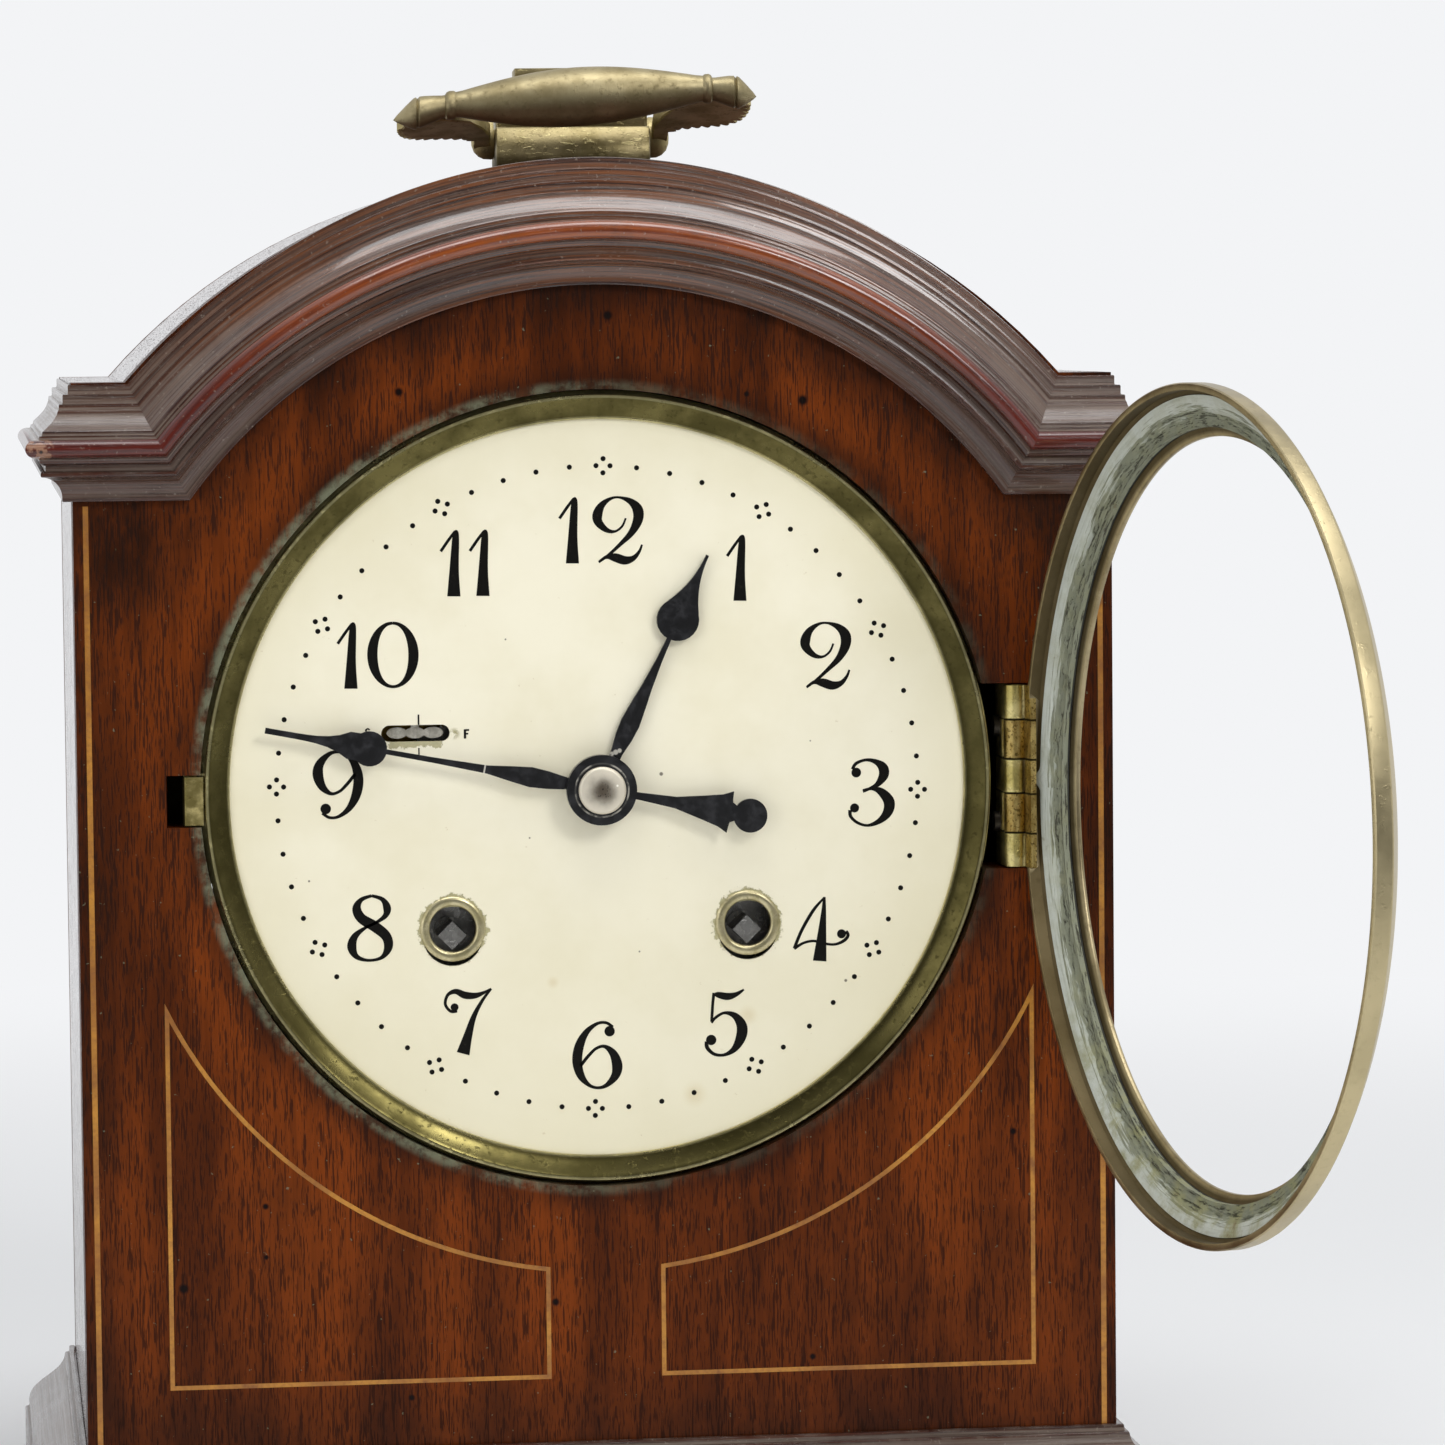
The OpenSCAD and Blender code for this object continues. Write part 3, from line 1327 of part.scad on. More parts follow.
module fly() {
  vane = [18, 0.9];
  vane_l = 12;
  vane_turn = 35;
  color(bright_brass) {
    arbor(fly_at, locking_m * (fly_pinion_n / 2 - dedendum));
    between(fly_at, astride(locking_g), leaf_l, fly_turn) pinion_outline(locking_m, fly_pinion_n);
    between(fly_at, fly_g, vane_l, vane_turn) square(vane, center = true);
  }
}
hammer_a = 70;
head_at = hammer_at + polar(hammer_l, hammer_a);
bell_at = head_at + polar(bell_r + hammer_r + 2 * clear, hammer_a - 90);
bell_f = 4;
module hammer() {
  shank_y = plate_out + 7;
  shank_t = 2;
  hub_r = 2.4;
  tail_l = 4.2;
  head_over = 2;
  color(steel) {
    at_dial(hammer_at) {
      rod_y(arbor_r, plate_in + clear, shank_y + shank_t + 1);
      rod_y(pivot_r, plate_f + end_play, plate_in + 1);
    }
    between([0, 0], pin_g + wheel_t + 0.3, 1, 0)
      link(hammer_at, hammer_at + polar(tail_l, bearing(hammer_at, pin_at)), shank_t);
    at_dial([0, 0]) along_y(shank_y, shank_y + shank_t) {
      disc(hammer_at, hub_r);
      link(hammer_at, head_at, shank_t);
    }
    at_dial(head_at) rod_y(hammer_r, shank_y - head_over, shank_y + shank_t + head_over);
  }
}
module bell() {
  function shell(r, h, n) = [for (i = [0:n]) let (t = 90 * i / n) [r * sin(t), h * (1 - cos(t))]];
  color(brass) at_dial(bell_at) difference() {
    turned(plate_out + bell_f + bell_h)
      polygon(concat(shell(bell_r, bell_h, 12),
        [for (p = backwards(shell(bell_r - bell_t, bell_h - bell_t, 12))) p + [0, bell_t]]));
    rod_y(stud_r + fit, plate_out, plate_out + far);
  }
}
module bell_stand() {
  foot_r = 5;
  foot_t = 2;
  post_r = 2.2;
  nut_r = 3;
  top = plate_out + bell_f + bell_h;
  color(steel) at_dial(bell_at) {
    rod_y(foot_r, plate_out, plate_out + foot_t);
    rod_y(post_r, plate_out, top - bell_t - fit);
    rod_y(stud_r, plate_out, top + 2 * trim + foot_t);
    rod_y(nut_r, top + fit, top + trim + foot_t);
  }
}
module rack() {
  to_locking = bearing(rack_at, locking_at);
  rack_r = norm(locking_at - rack_at) - 2 - trim;
  hub_r = 3;
  arm_w = 2.4;
  tail_l = 26;
  tail_a = 48.7;
  pitch = 1.2;
  tooth_h = 1;
  strip = 3;
  color(steel) before([0, 0], rack_f, rack_t, 0) difference() {
    union() {
      disc(rack_at, hub_r);
      link(rack_at, rack_at + polar(tail_l, tail_a), arm_w);
      link(rack_at, rack_at + polar(rack_r - tooth_h, to_locking - 2), arm_w);
      translate(rack_at) rotate(to_locking) polygon(concat(
        [for (i = [-7:6]) each [polar(rack_r, i * pitch), polar(rack_r - tooth_h, (i + 0.75) * pitch)]],
        [polar(rack_r - strip, 6.7 * pitch), polar(rack_r - strip, -7 * pitch)]));
    }
    disc(rack_at, stud_r + fit);
  }
}

base_board();
plinth_mouldings();
front_panel();
side_panels();
back_frame();
case_top();
arch_moulding();
cornice_mouldings();
inlay_lines();
back_door();
door_case_leaves();
door_leaves();
hinge_pins();
door_knob();
handle_block();
bail_handle();
dial_ring();
dial();
winding_eyelets();
catch_tongue();
bezel();
glazing_putty();
hinge_case_leaf();
hinge_bezel_leaf();
hour_hand();
minute_hand();
hand_nut();
front_plate();
back_plate();
pillars();
movement_brackets();
screws();
going_barrel();
strike_barrel();
going_mainspring();
strike_mainspring();
going_winding_arbor();
strike_winding_arbor();
clicks();
intermediate_wheel();
centre_wheel();
cannon_pinion();
minute_wheel();
hour_wheel();
third_wheel();
fourth_wheel();
escape_wheel();
pallet_lever();
balance_wheel();
hairspring();
regulator();
platform();
pin_wheel();
locking_wheel();
fly();
hammer();
bell();
bell_stand();
rack();
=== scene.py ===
import math

import bmesh
import bpy
from mathutils import Matrix, Vector, noise


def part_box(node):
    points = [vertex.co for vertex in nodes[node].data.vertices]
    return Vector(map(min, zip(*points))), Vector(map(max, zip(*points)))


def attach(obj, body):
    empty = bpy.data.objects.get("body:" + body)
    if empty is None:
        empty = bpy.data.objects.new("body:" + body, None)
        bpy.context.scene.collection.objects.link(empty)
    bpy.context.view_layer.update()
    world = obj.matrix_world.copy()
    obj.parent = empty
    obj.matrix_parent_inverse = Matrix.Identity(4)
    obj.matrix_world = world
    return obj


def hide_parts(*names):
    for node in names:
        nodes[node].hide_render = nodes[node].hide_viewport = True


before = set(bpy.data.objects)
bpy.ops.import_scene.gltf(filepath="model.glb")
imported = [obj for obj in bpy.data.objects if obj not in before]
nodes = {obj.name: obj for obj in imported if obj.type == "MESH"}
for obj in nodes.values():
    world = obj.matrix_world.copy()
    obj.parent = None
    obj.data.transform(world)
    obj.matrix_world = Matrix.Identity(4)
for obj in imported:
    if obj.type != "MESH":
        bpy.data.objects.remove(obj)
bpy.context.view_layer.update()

# Case panels
# The carcase is of red-brown mahogany boards, glued up and french polished: a front panel with a
# round opening, two sides, a bent top, a framed back and a base board. Sizes are in millimetres.
MM = 0.001
front_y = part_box("front_panel")[0][1] / MM
back_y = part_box("back_frame")[1][1] / MM
half_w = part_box("front_panel")[1][0] / MM
dial_h = (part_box("dial_ring")[0][2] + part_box("dial_ring")[1][2]) / 2 / MM
crown_z = 292.97
opening_r = 82.15
plinth_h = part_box("plinth_mouldings")[1][2] / MM


def colour(code):
    """A hex colour as linear RGBA."""
    parts = [int(code[i:i + 2], 16) / 255 for i in (0, 2, 4)]
    linear = [p / 12.92 if p <= 0.04045 else ((p + 0.055) / 1.055) ** 2.4 for p in parts]
    return linear + [1]


def put(tree, kind, ins={}, **settings):
    """Adds a node: settings first, then each input linked to a socket or set to a value."""
    n = tree.nodes.new(kind)
    for key, value in settings.items():
        setattr(n, key, value)
    for key, value in ins.items():
        if isinstance(value, bpy.types.NodeSocket):
            tree.links.new(value, n.inputs[key])
        else:
            n.inputs[key].default_value = value
    return n


def new_finish(name, **sockets):
    """A material with one surface shader; returns the material, its tree and the shader."""
    material = bpy.data.materials.new(name)
    material.use_nodes = True
    tree = material.node_tree
    shader = tree.nodes["Principled BSDF"]
    for key, value in sockets.items():
        shader.inputs[key.replace("_", " ")].default_value = value
    return material, tree, shader


def both(tree, mask, *others):
    """Where every mask holds: their product."""
    for other in others:
        mask = put(tree, "ShaderNodeMath", {0: mask, 1: other}, operation="MULTIPLY").outputs[0]
    return mask


def either(tree, mask, *others):
    """Where any mask holds: the strongest of them."""
    for other in others:
        mask = put(tree, "ShaderNodeMath", {0: mask, 1: other}, operation="MAXIMUM").outputs[0]
    return mask


def ease(tree, value, start, end, low=0.0, high=1.0):
    """Low before start, high after end, and a smooth step between them."""
    return put(tree, "ShaderNodeMapRange",
               {"Value": value, "From Min": start, "From Max": end, "To Min": low, "To Max": high},
               interpolation_type="SMOOTHSTEP").outputs[0]


def blend(tree, factor, a, b, mode="MIX"):
    """Colour b over colour a by the factor; a and b are sockets or hex codes."""
    a, b = (colour(c) if isinstance(c, str) else c for c in (a, b))
    return put(tree, "ShaderNodeMix", {0: factor, 6: a, 7: b}, data_type="RGBA",
               blend_type=mode).outputs[2]


def cloud(tree, place, size, detail=3.0, rough=0.5):
    """Soft noise whose blobs are about size millimetres, given as (x, y, z)."""
    scaled = put(tree, "ShaderNodeMapping", {"Vector": place, "Scale": [1 / (s * MM) for s in size]})
    return put(tree, "ShaderNodeTexNoise",
               {"Vector": scaled.outputs[0], "Scale": 1.0, "Detail": detail, "Roughness": rough}
               ).outputs["Fac"]


def rise(tree, height, depth):
    """A bump of that height in millimetres where the socket is 1."""
    return put(tree, "ShaderNodeBump",
               {"Height": height, "Distance": depth * MM, "Strength": 1.0}).outputs["Normal"]


def along(axis, length, width):
    """Noise sizes for a pattern that runs along X, Y or Z."""
    return [length if a == axis else width for a in "XYZ"]


def from_dial(tree, here):
    """Distances across and up from the dial's centre, and the radius, as sockets in metres."""
    axes = put(tree, "ShaderNodeSeparateXYZ", {0: here})
    x = axes.outputs["X"]
    up = put(tree, "ShaderNodeMath", {0: axes.outputs["Z"], 1: dial_h * MM}, operation="SUBTRACT").outputs[0]
    flat = put(tree, "ShaderNodeCombineXYZ", {"X": x, "Y": up}).outputs[0]
    return x, up, put(tree, "ShaderNodeVectorMath", {0: flat}, operation="LENGTH").outputs["Value"]


def spots(tree, here, places, soft=0.35):
    """1 inside any of the spots, given as (x, up, radius) in millimetres from the dial's centre."""
    x, up, r = from_dial(tree, here)
    flat = put(tree, "ShaderNodeCombineXYZ", {"X": x, "Y": up}).outputs[0]
    worst = None
    for sx, sz, radius in places:
        off = put(tree, "ShaderNodeVectorMath", {0: flat, 1: (sx * MM, sz * MM, 0)},
                  operation="DISTANCE").outputs["Value"]
        one = ease(tree, off, radius * MM, radius * soft * MM)
        worst = one if worst is None else either(tree, worst, one)
    return worst


def mahogany(name, axis, light, dark, polish=0.3, gloss=0.5, shade=None, marks=None, dust=None):
    """Mahogany with its figure, fine streaks and dark open pores running along the axis."""
    material, tree, shader = new_finish(name, Specular_IOR_Level=gloss)
    here = put(tree, "ShaderNodeTexCoord").outputs["Object"]
    figure = ease(tree, cloud(tree, here, along(axis, 90, 16), 5, 0.55), 0.34, 0.66)
    streak = ease(tree, cloud(tree, here, along(axis, 40, 0.9), 3), 0.42, 0.7)
    flame = ease(tree, cloud(tree, here, along(axis, 22, 3.2), 3, 0.6), 0.45, 0.7)
    crowd = ease(tree, cloud(tree, here, along(axis, 30, 9), 3, 0.6), 0.3, 0.7, 0.05, -0.03)
    pore = cloud(tree, here, along(axis, 5, 0.34), 1, 0.5)
    pore = put(tree, "ShaderNodeMath", {0: pore, 1: crowd}, operation="SUBTRACT").outputs[0]
    pore = ease(tree, pore, 0.555, 0.62)
    fleck = ease(tree, cloud(tree, here, along(axis, 2.6, 0.24), 1, 0.5), 0.6, 0.66)
    grime_and_shade = ease(tree, cloud(tree, here, (24, 24, 24), 5, 0.6), 0.5, 0.75)
    wood = blend(tree, figure, dark, light)
    wood = blend(tree, both(tree, flame, 0.3), wood, light)
    wood = blend(tree, both(tree, streak, 0.4), wood, dark)
    wood = blend(tree, both(tree, grime_and_shade, 0.3), wood, "281204")
    # The shade mask paints shade, darkening the wood towards near black.
    if shade:
        wood = blend(tree, shade(tree, here), wood, "1e0e06")
    pore = either(tree, pore, both(tree, fleck, 0.8))
    wood = blend(tree, both(tree, pore, 0.72), wood, "1c0a03")
    if marks:
        wood = blend(tree, spots(tree, here, marks), wood, "120805")
    if dust:
        wood = blend(tree, dust(tree, here), wood, "72755f")
    tree.links.new(wood, shader.inputs["Base Color"])
    tree.links.new(ease(tree, pore, 0, 1, polish, polish + 0.25), shader.inputs["Roughness"])
    tree.links.new(rise(tree, pore, -0.1 * min(polish, 0.3)), shader.inputs["Normal"])
    return material


def finish_node(name, material):
    """Gives a CAD node its finish, in place of the plain one."""
    slots = nodes[name].data.materials
    slots.clear()
    slots.append(material)


def panel_painted_shade(tree, here):
    """Painted shade, with soiled dark polish: darker round the opening, under the arch moulding and the
    cornice, by the edges and at the foot.
    """
    x, up, r = from_dial(tree, here)
    side = put(tree, "ShaderNodeMath", {0: x}, operation="ABSOLUTE").outputs[0]
    hole = ease(tree, r, opening_r * MM, (opening_r + 8) * MM, 0.9, 0)
    arch = both(tree, ease(tree, r, 0.091, 0.104, 0, 0.85), ease(tree, up, 0.02, 0.05))
    brow = both(tree, ease(tree, up, 0.046, 0.06, 0, 0.8), ease(tree, side, 0.078, 0.09))
    edge = ease(tree, side, (half_w - 13) * MM, (half_w - 1) * MM, 0, 0.7)
    low = (plinth_h - dial_h) * MM
    foot = ease(tree, up, low + 0.022, low, 0, 0.6)
    dark = either(tree, hole, arch)
    for more in (brow, edge, foot):
        dark = either(tree, dark, more)
    patch = ease(tree, cloud(tree, here, (9, 9, 14), 4, 0.65), 0.28, 0.68, 0.35, 1.0)
    return both(tree, dark, patch)


def panel_dust(tree, here):
    """Grey-green dust on the edge of the opening, most at its left, and a few pale specks."""
    x, up, r = from_dial(tree, here)
    rim = ease(tree, r, (opening_r + 2.6) * MM, (opening_r + 0.5) * MM)
    rim = both(tree, rim, ease(tree, x, 0.03, -0.04, 0.12, 0.8))
    rim = both(tree, rim, ease(tree, cloud(tree, here, (5, 5, 5), 5, 0.7), 0.38, 0.62, 0.1, 1))
    speck = ease(tree, cloud(tree, here, (1.1, 1.1, 1.1), 2), 0.73, 0.78, 0, 0.6)
    return either(tree, rim, speck)


plugged_holes = [(2.5, 97.2, 1.3), (42.6, 79.4, 1.5), (-40.5, 82, 1.2), (-87, -101, 1.4),
                 (-10.5, -106, 1.1), (-70, -84.5, 0.9), (31, 80.8, 0.8), (-70, -95, 0.7),
                 (-40.5, -125, 0.9), (43, -119, 0.9), (85.5, -73, 1.0)]
finish_node("front_panel",
            mahogany("panel mahogany", "Z", "733308", "461c03", 0.34, 0.1, panel_painted_shade, plugged_holes,
                     panel_dust))
finish_node("side_panels", mahogany("side mahogany", "Z", "5c2a16", "3f1b0e", 0.06))
finish_node("case_top", mahogany("top mahogany", "Y", "552818", "3a1a10", 0.08))
finish_node("back_frame", mahogany("back mahogany", "Z", "6a3a22", "4a2413", 0.45))
finish_node("base_board", mahogany("base mahogany", "X", "5c3824", "3d2314", 0.6))

# Mouldings
# The plinth, the shoulder cornices and the bent arch moulding are run in darker mahogany, mitred at
# the corners and glued to the case. Their edges are rubbed, and old wax and dust lie in the hollows.


def skin(name, rows, material, ring=True, loop=False, wear_and_shade=None):
    """A solid through rows of points in millimetres. Each row is closed where ring is set, loop joins
    the last row to the first, and open ends are filled. The UV map has U along the rows and V across
    them in metres; wear gives a value for each point of a row."""
    bm = bmesh.new()
    uv = bm.loops.layers.uv.new("run")
    rub_and_shade = bm.verts.layers.float.new("wear_and_shade")
    grid = [[bm.verts.new(Vector(p) * MM) for p in row] for row in rows]
    if wear_and_shade:
        for line in grid:
            for vert, value in zip(line, wear_and_shade):
                vert[rub_and_shade] = value
    count, turns = len(rows[0]), len(rows)
    across = [0.0]
    for k in range(count):
        across.append(across[-1] + (Vector(rows[0][k]) - Vector(rows[0][(k + 1) % count])).length * MM)
    mid = count // 2
    down = [0.0]
    for i in range(turns):
        down.append(down[-1] + (Vector(rows[i][mid]) - Vector(rows[(i + 1) % turns][mid])).length * MM)
    for i in range(turns if loop else turns - 1):
        for k in range(count if ring else count - 1):
            i2, k2 = (i + 1) % turns, (k + 1) % count
            corners = [(grid[i][k], i, k), (grid[i2][k], i + 1, k), (grid[i2][k2], i + 1, k + 1),
                       (grid[i][k2], i, k + 1)]
            if len({c[0] for c in corners}) < 4:
                continue
            face = bm.faces.new([c[0] for c in corners])
            for lp, (v, a, b) in zip(face.loops, corners):
                lp[uv].uv = (down[a], across[b])
    if ring and not loop:
        for line in (grid[0], grid[-1]):
            bm.faces.new(line)
    bmesh.ops.remove_doubles(bm, verts=bm.verts, dist=1e-7)
    bmesh.ops.recalc_face_normals(bm, faces=bm.faces)
    mesh = bpy.data.meshes.new(name)
    bm.to_mesh(mesh)
    bm.free()
    return finished(name, mesh, material)


def finished(name, mesh, material, sharp=38):
    """An object in the scene with smooth faces, creased where they turn by more than sharp degrees."""
    mesh.materials.clear()
    mesh.materials.append(material)
    mesh.polygons.foreach_set("use_smooth", [True] * len(mesh.polygons))
    mesh.set_sharp_from_angle(angle=math.radians(sharp))
    o = bpy.data.objects.new(name, mesh)
    bpy.context.scene.collection.objects.link(o)
    return o


def stand_for(piece, body, slot, *replaced):
    """Fixes a piece to its body and takes the place of CAD nodes; the slot argument is not used."""
    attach(piece, body)
    if replaced:
        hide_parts(*replaced)


def bow(centre, rx, ry, start, end, steps):
    """Points on an oval arc, angles in degrees."""
    angles = [math.radians(start + (end - start) * i / steps) for i in range(steps + 1)]
    return [(centre[0] + rx * math.cos(a), centre[1] + ry * math.sin(a)) for a in angles]


def soften(points, radius=0.35):
    """Rounds the corners of a closed outline that turn by more than a little."""
    out = []
    for i, here in enumerate(points):
        a, b, c = Vector(points[i - 1]), Vector(here), Vector(points[(i + 1) % len(points)])
        if (b - a).length < 1e-6 or (c - b).length < 1e-6 or (b - a).angle(c - b) < math.radians(25):
            out.append(b)
            continue
        r = min(radius, 0.45 * (a - b).length, 0.45 * (c - b).length)
        p, q = b + r * (a - b).normalized(), b + r * (c - b).normalized()
        out += [p, (p + q + 2 * b) / 4, q]
    return out


def rubbed(points):
    """1 at an outer edge, 0 at an inner corner and about a half on a flat, for a closed outline."""
    turn = []
    for i, here in enumerate(points):
        a, b, c = Vector(points[i - 1]), Vector(here), Vector(points[(i + 1) % len(points)])
        bend = (b - a).angle_signed(c - b, 0) if (b - a).length and (c - b).length else 0
        span = max(0.2, ((b - a).length + (c - b).length) / 2)
        turn.append(max(0.0, min(1.0, 0.5 - bend / span * 0.35)))
    return turn


def moulding_polish(name, dust, film=0.5, broken=None):
    """Dark polish: beads and edges rubbed to red; dust in the hollows, and raw wood where the end of a bead
    has broken off. Towards the crown, wood and beads are painted lighter and more orange and the dust is
    thinner, as painted light; faces turned down get less pale dust, as painted shade."""
    material, tree, shader = new_finish(name, Coat_Roughness=0.06)
    uv = put(tree, "ShaderNodeTexCoord").outputs["UV"]
    here = put(tree, "ShaderNodeTexCoord").outputs["Object"]
    wear_and_shade = put(tree, "ShaderNodeAttribute", attribute_name="wear_and_shade").outputs["Fac"]
    facing = put(tree, "ShaderNodeNewGeometry").outputs["Normal"]
    top = put(tree, "ShaderNodeSeparateXYZ", {0: facing}).outputs["Z"]
    # Painted light: the crown mask makes the colours lighter and more orange towards the top of the arch.
    crown = ease(tree, from_dial(tree, here)[1], 0.075, 0.114)
    grain = ease(tree, cloud(tree, uv, (45, 0.7, 1), 4, 0.55), 0.35, 0.7)
    line = ease(tree, cloud(tree, uv, (14, 0.25, 1), 2), 0.55, 0.7)
    streak = ease(tree, cloud(tree, uv, (60, 0.45, 1), 3, 0.6), 0.36, 0.62, 0.4, 1)
    patch = cloud(tree, here, (11, 11, 11), 5, 0.65)
    speck = ease(tree, cloud(tree, here, (0.8, 0.8, 0.8), 2), 0.66, 0.74)
    # The wood is painted lighter towards the crown, as painted light.
    wood = blend(tree, grain, "29110a", blend(tree, crown, "452011", "74421f"))
    wood = blend(tree, both(tree, line, 0.5), wood, "1c0a05")
    hollow = both(tree, ease(tree, wear_and_shade, 0.62, 0.2), ease(tree, patch, 0.25, 0.55, 0.55, 1))
    veil = both(tree, ease(tree, patch, 0.38, 0.68), ease(tree, wear_and_shade, 0.9, 0.7, 0, film))
    dust_and_painted_light = both(tree, either(tree, hollow, veil), streak)
    # More pale dust on faces turned up: settled dust, and painted shade on the faces turned down.
    dust_and_painted_light = both(tree, dust_and_painted_light, ease(tree, top, -0.5, 0.4, 0.5, 1.2))
    # Less dust towards the crown, as part of the painted light there.
    dust_and_painted_light = both(tree, dust_and_painted_light, ease(tree, crown, 0, 1, 0.85, 0.4))
    wood = blend(tree, dust_and_painted_light, wood, dust)
    edge = both(tree, ease(tree, wear_and_shade, 0.8, 0.95), ease(tree, patch, 0.3, 0.5, 0.55, 1))
    # The bead is painted lighter and more orange towards the crown, as painted light.
    bead = blend(tree, crown, blend(tree, grain, "43110b", "5e1b0e"), blend(tree, grain, "6a2c0c", "914710"))
    wood = blend(tree, edge, wood, bead)
    wood = blend(tree, both(tree, speck, 0.3), wood, "a4988a")
    if broken:
        torn = ease(tree, cloud(tree, here, (1.8, 1.8, 1.8), 3, 0.6), 0.42, 0.52)
        front = put(tree, "ShaderNodeSeparateXYZ", {0: here}).outputs["Y"]
        torn = both(tree, torn, ease(tree, front, (front_y - 6.5) * MM, (front_y - 7.5) * MM))
        bare = both(tree, spots(tree, here, broken, 0.75), torn)
        wood = blend(tree, bare, wood, blend(tree, grain, "7c5540", "a37d66"))
        wood = blend(tree, spots(tree, here, [(broken[0][0] + 0.3, broken[0][1] - 0.4, 0.55)]), wood,
                     "2a1409")
    tree.links.new(wood, shader.inputs["Base Color"])
    tree.links.new(ease(tree, crown, 0, 1, 0.3, 0.9), shader.inputs["Coat Weight"])
    tree.links.new(ease(tree, dust_and_painted_light, 0, 1, 0.22, 0.46), shader.inputs["Roughness"])
    relief = put(tree, "ShaderNodeMath", {0: line, 1: both(tree, patch, 2)}, operation="ADD").outputs[0]
    tree.links.new(rise(tree, relief, 0.04), shader.inputs["Normal"])
    return material


cornice_low, arch_low_r = 59.5, 102.97
cornice = soften(
    [(0, 0), (2.1, 0)] + bow((6.4, 1), 4.3, 4.3, 180, 90, 10)
    + [(6.4, 6.4), (5.4, 6.4), (5.4, 7.6)] + bow((5.4, 9), 1.3, 1.3, -90, 0, 5) + [(7.4, 9.3)]
    + bow((7.4, 11.2), 2.05, 1.9, -90, 90, 16) + [(6.6, 13.1), (6.6, 13.9), (6.0, 13.9), (6.0, 14.7)]
    + [(5.5 - 2.7 * (1 - (1 - t / 10) ** 1.5), 15.1 + 3.6 * (t / 10)) for t in range(11)]
    + [(2.5, 19.3), (2.5, 20.4), (1.7, 20.4), (1.7, 22.4), (0.6, 22.4), (0.6, 24.4), (0, 24.4)], 0.3)
cornice_wear = [1.0 if p[0] > 7.5 and 9.4 < p[1] < 13 else 0.75 * w for p, w in zip(cornice, rubbed(cornice))]
cornice_polish = moulding_polish("cornice polish", "6e5e52", broken=[(-113.6, 71.2, 3.2)])


def shoulder_z(h, left):
    """Height over the dial's centre: the left shoulder was fixed a little high."""
    return cornice_low + h + (1.0 - 0.029 * h if left else 0)


arch_rows = []
for step in range(129):
    row = []
    for out, h in cornice:
        r = arch_low_r + h
        start, end = math.pi - math.asin(shoulder_z(h, True) / r), math.asin(shoulder_z(h, False) / r)
        a = start + (end - start) * step / 128
        low = math.sin(start if a > math.pi / 2 else end)
        r += (0.5 - 0.07 * h + 0.0056 * h * h) * ((math.sin(a) - low) / (1 - low)) ** 3
        row.append((r * math.cos(a), front_y - out, dial_h + r * math.sin(a)))
    arch_rows.append(row)
stand_for(skin("arch_run", arch_rows, cornice_polish, wear_and_shade=cornice_wear), "case", "dark_mahogany",
          "arch_moulding")

shoulders = []
for side in (-1, 1):
    rows = []
    for place in ("mitre", "corner", "back"):
        row = []
        for out, h in cornice:
            z = shoulder_z(h, side < 0)
            x = math.sqrt((arch_low_r + h) ** 2 - z * z) if place == "mitre" else half_w + out
            y = back_y if place == "back" else front_y - out
            row.append((side * x, y, dial_h + z))
        rows.append(row)
    name = "shoulder_left" if side < 0 else "shoulder_right"
    shoulders.append(skin(name, rows, cornice_polish, wear_and_shade=cornice_wear))
stand_for(shoulders[0], "case", "dark_mahogany", "cornice_mouldings")
stand_for(shoulders[1], "case", "dark_mahogany")

plinth = soften(
    [(0, 0), (11.5, 0), (11.5, 16.5), (10.6, 16.5)]
    + [(10.6 - 8.3 * t / 14 + 1.1 * math.sin(2 * math.pi * t / 14), 17.9 + 10.7 * t / 14) for t in range(15)]
    + [(1.4, 28.6), (1.4, 30), (0, 30)], 0.4)
plinth_rows = [[(side * (half_w + out), back_y if end else front_y - out, h) for out, h in plinth]
               for side, end in ((-1, True), (-1, False), (1, False), (1, True))]
stand_for(skin("plinth_run", plinth_rows, moulding_polish("plinth polish", "6a5c50", 0.7),
               wear_and_shade=[0.75 * w for w in rubbed(plinth)]), "case", "dark_mahogany", "plinth_mouldings")

# Inlay
# Boxwood stringing is let into grooves in the panel: one line down each front corner and one round
# each spandrel. It is honey coloured, darker where the polish has run over it.


def boxwood():
    """Pale close-grained wood under thin polish: a soft honey tone with fine darker fibres."""
    material, tree, shader = new_finish("boxwood string", Coat_Weight=0.1, Coat_Roughness=0.2)
    here = put(tree, "ShaderNodeTexCoord").outputs["Object"]
    shade = ease(tree, cloud(tree, here, (14, 14, 14), 4, 0.6), 0.3, 0.7)
    fibre = ease(tree, cloud(tree, here, (0.9, 0.9, 0.9), 2), 0.4, 0.7)
    stain = ease(tree, cloud(tree, here, (4, 4, 4), 3, 0.6), 0.56, 0.72)
    tone = blend(tree, shade, "8a5518", "bb8026")
    tone = blend(tree, both(tree, fibre, 0.3), tone, "6f3f14")
    tone = blend(tree, both(tree, stain, 0.6), tone, "6b3a18")
    tree.links.new(tone, shader.inputs["Base Color"])
    tree.links.new(ease(tree, fibre, 0, 1, 0.34, 0.5), shader.inputs["Roughness"])
    tree.links.new(rise(tree, fibre, 0.02), shader.inputs["Normal"])
    return material


finish_node("inlay_lines", boxwood())

# Movement
# Behind the dial stands an eight-day striking movement: lacquered brass plates, pillars, barrels and
# wheels, steel arbors and springs, and a bell on a steel post. Steel brackets hold it to the panel.


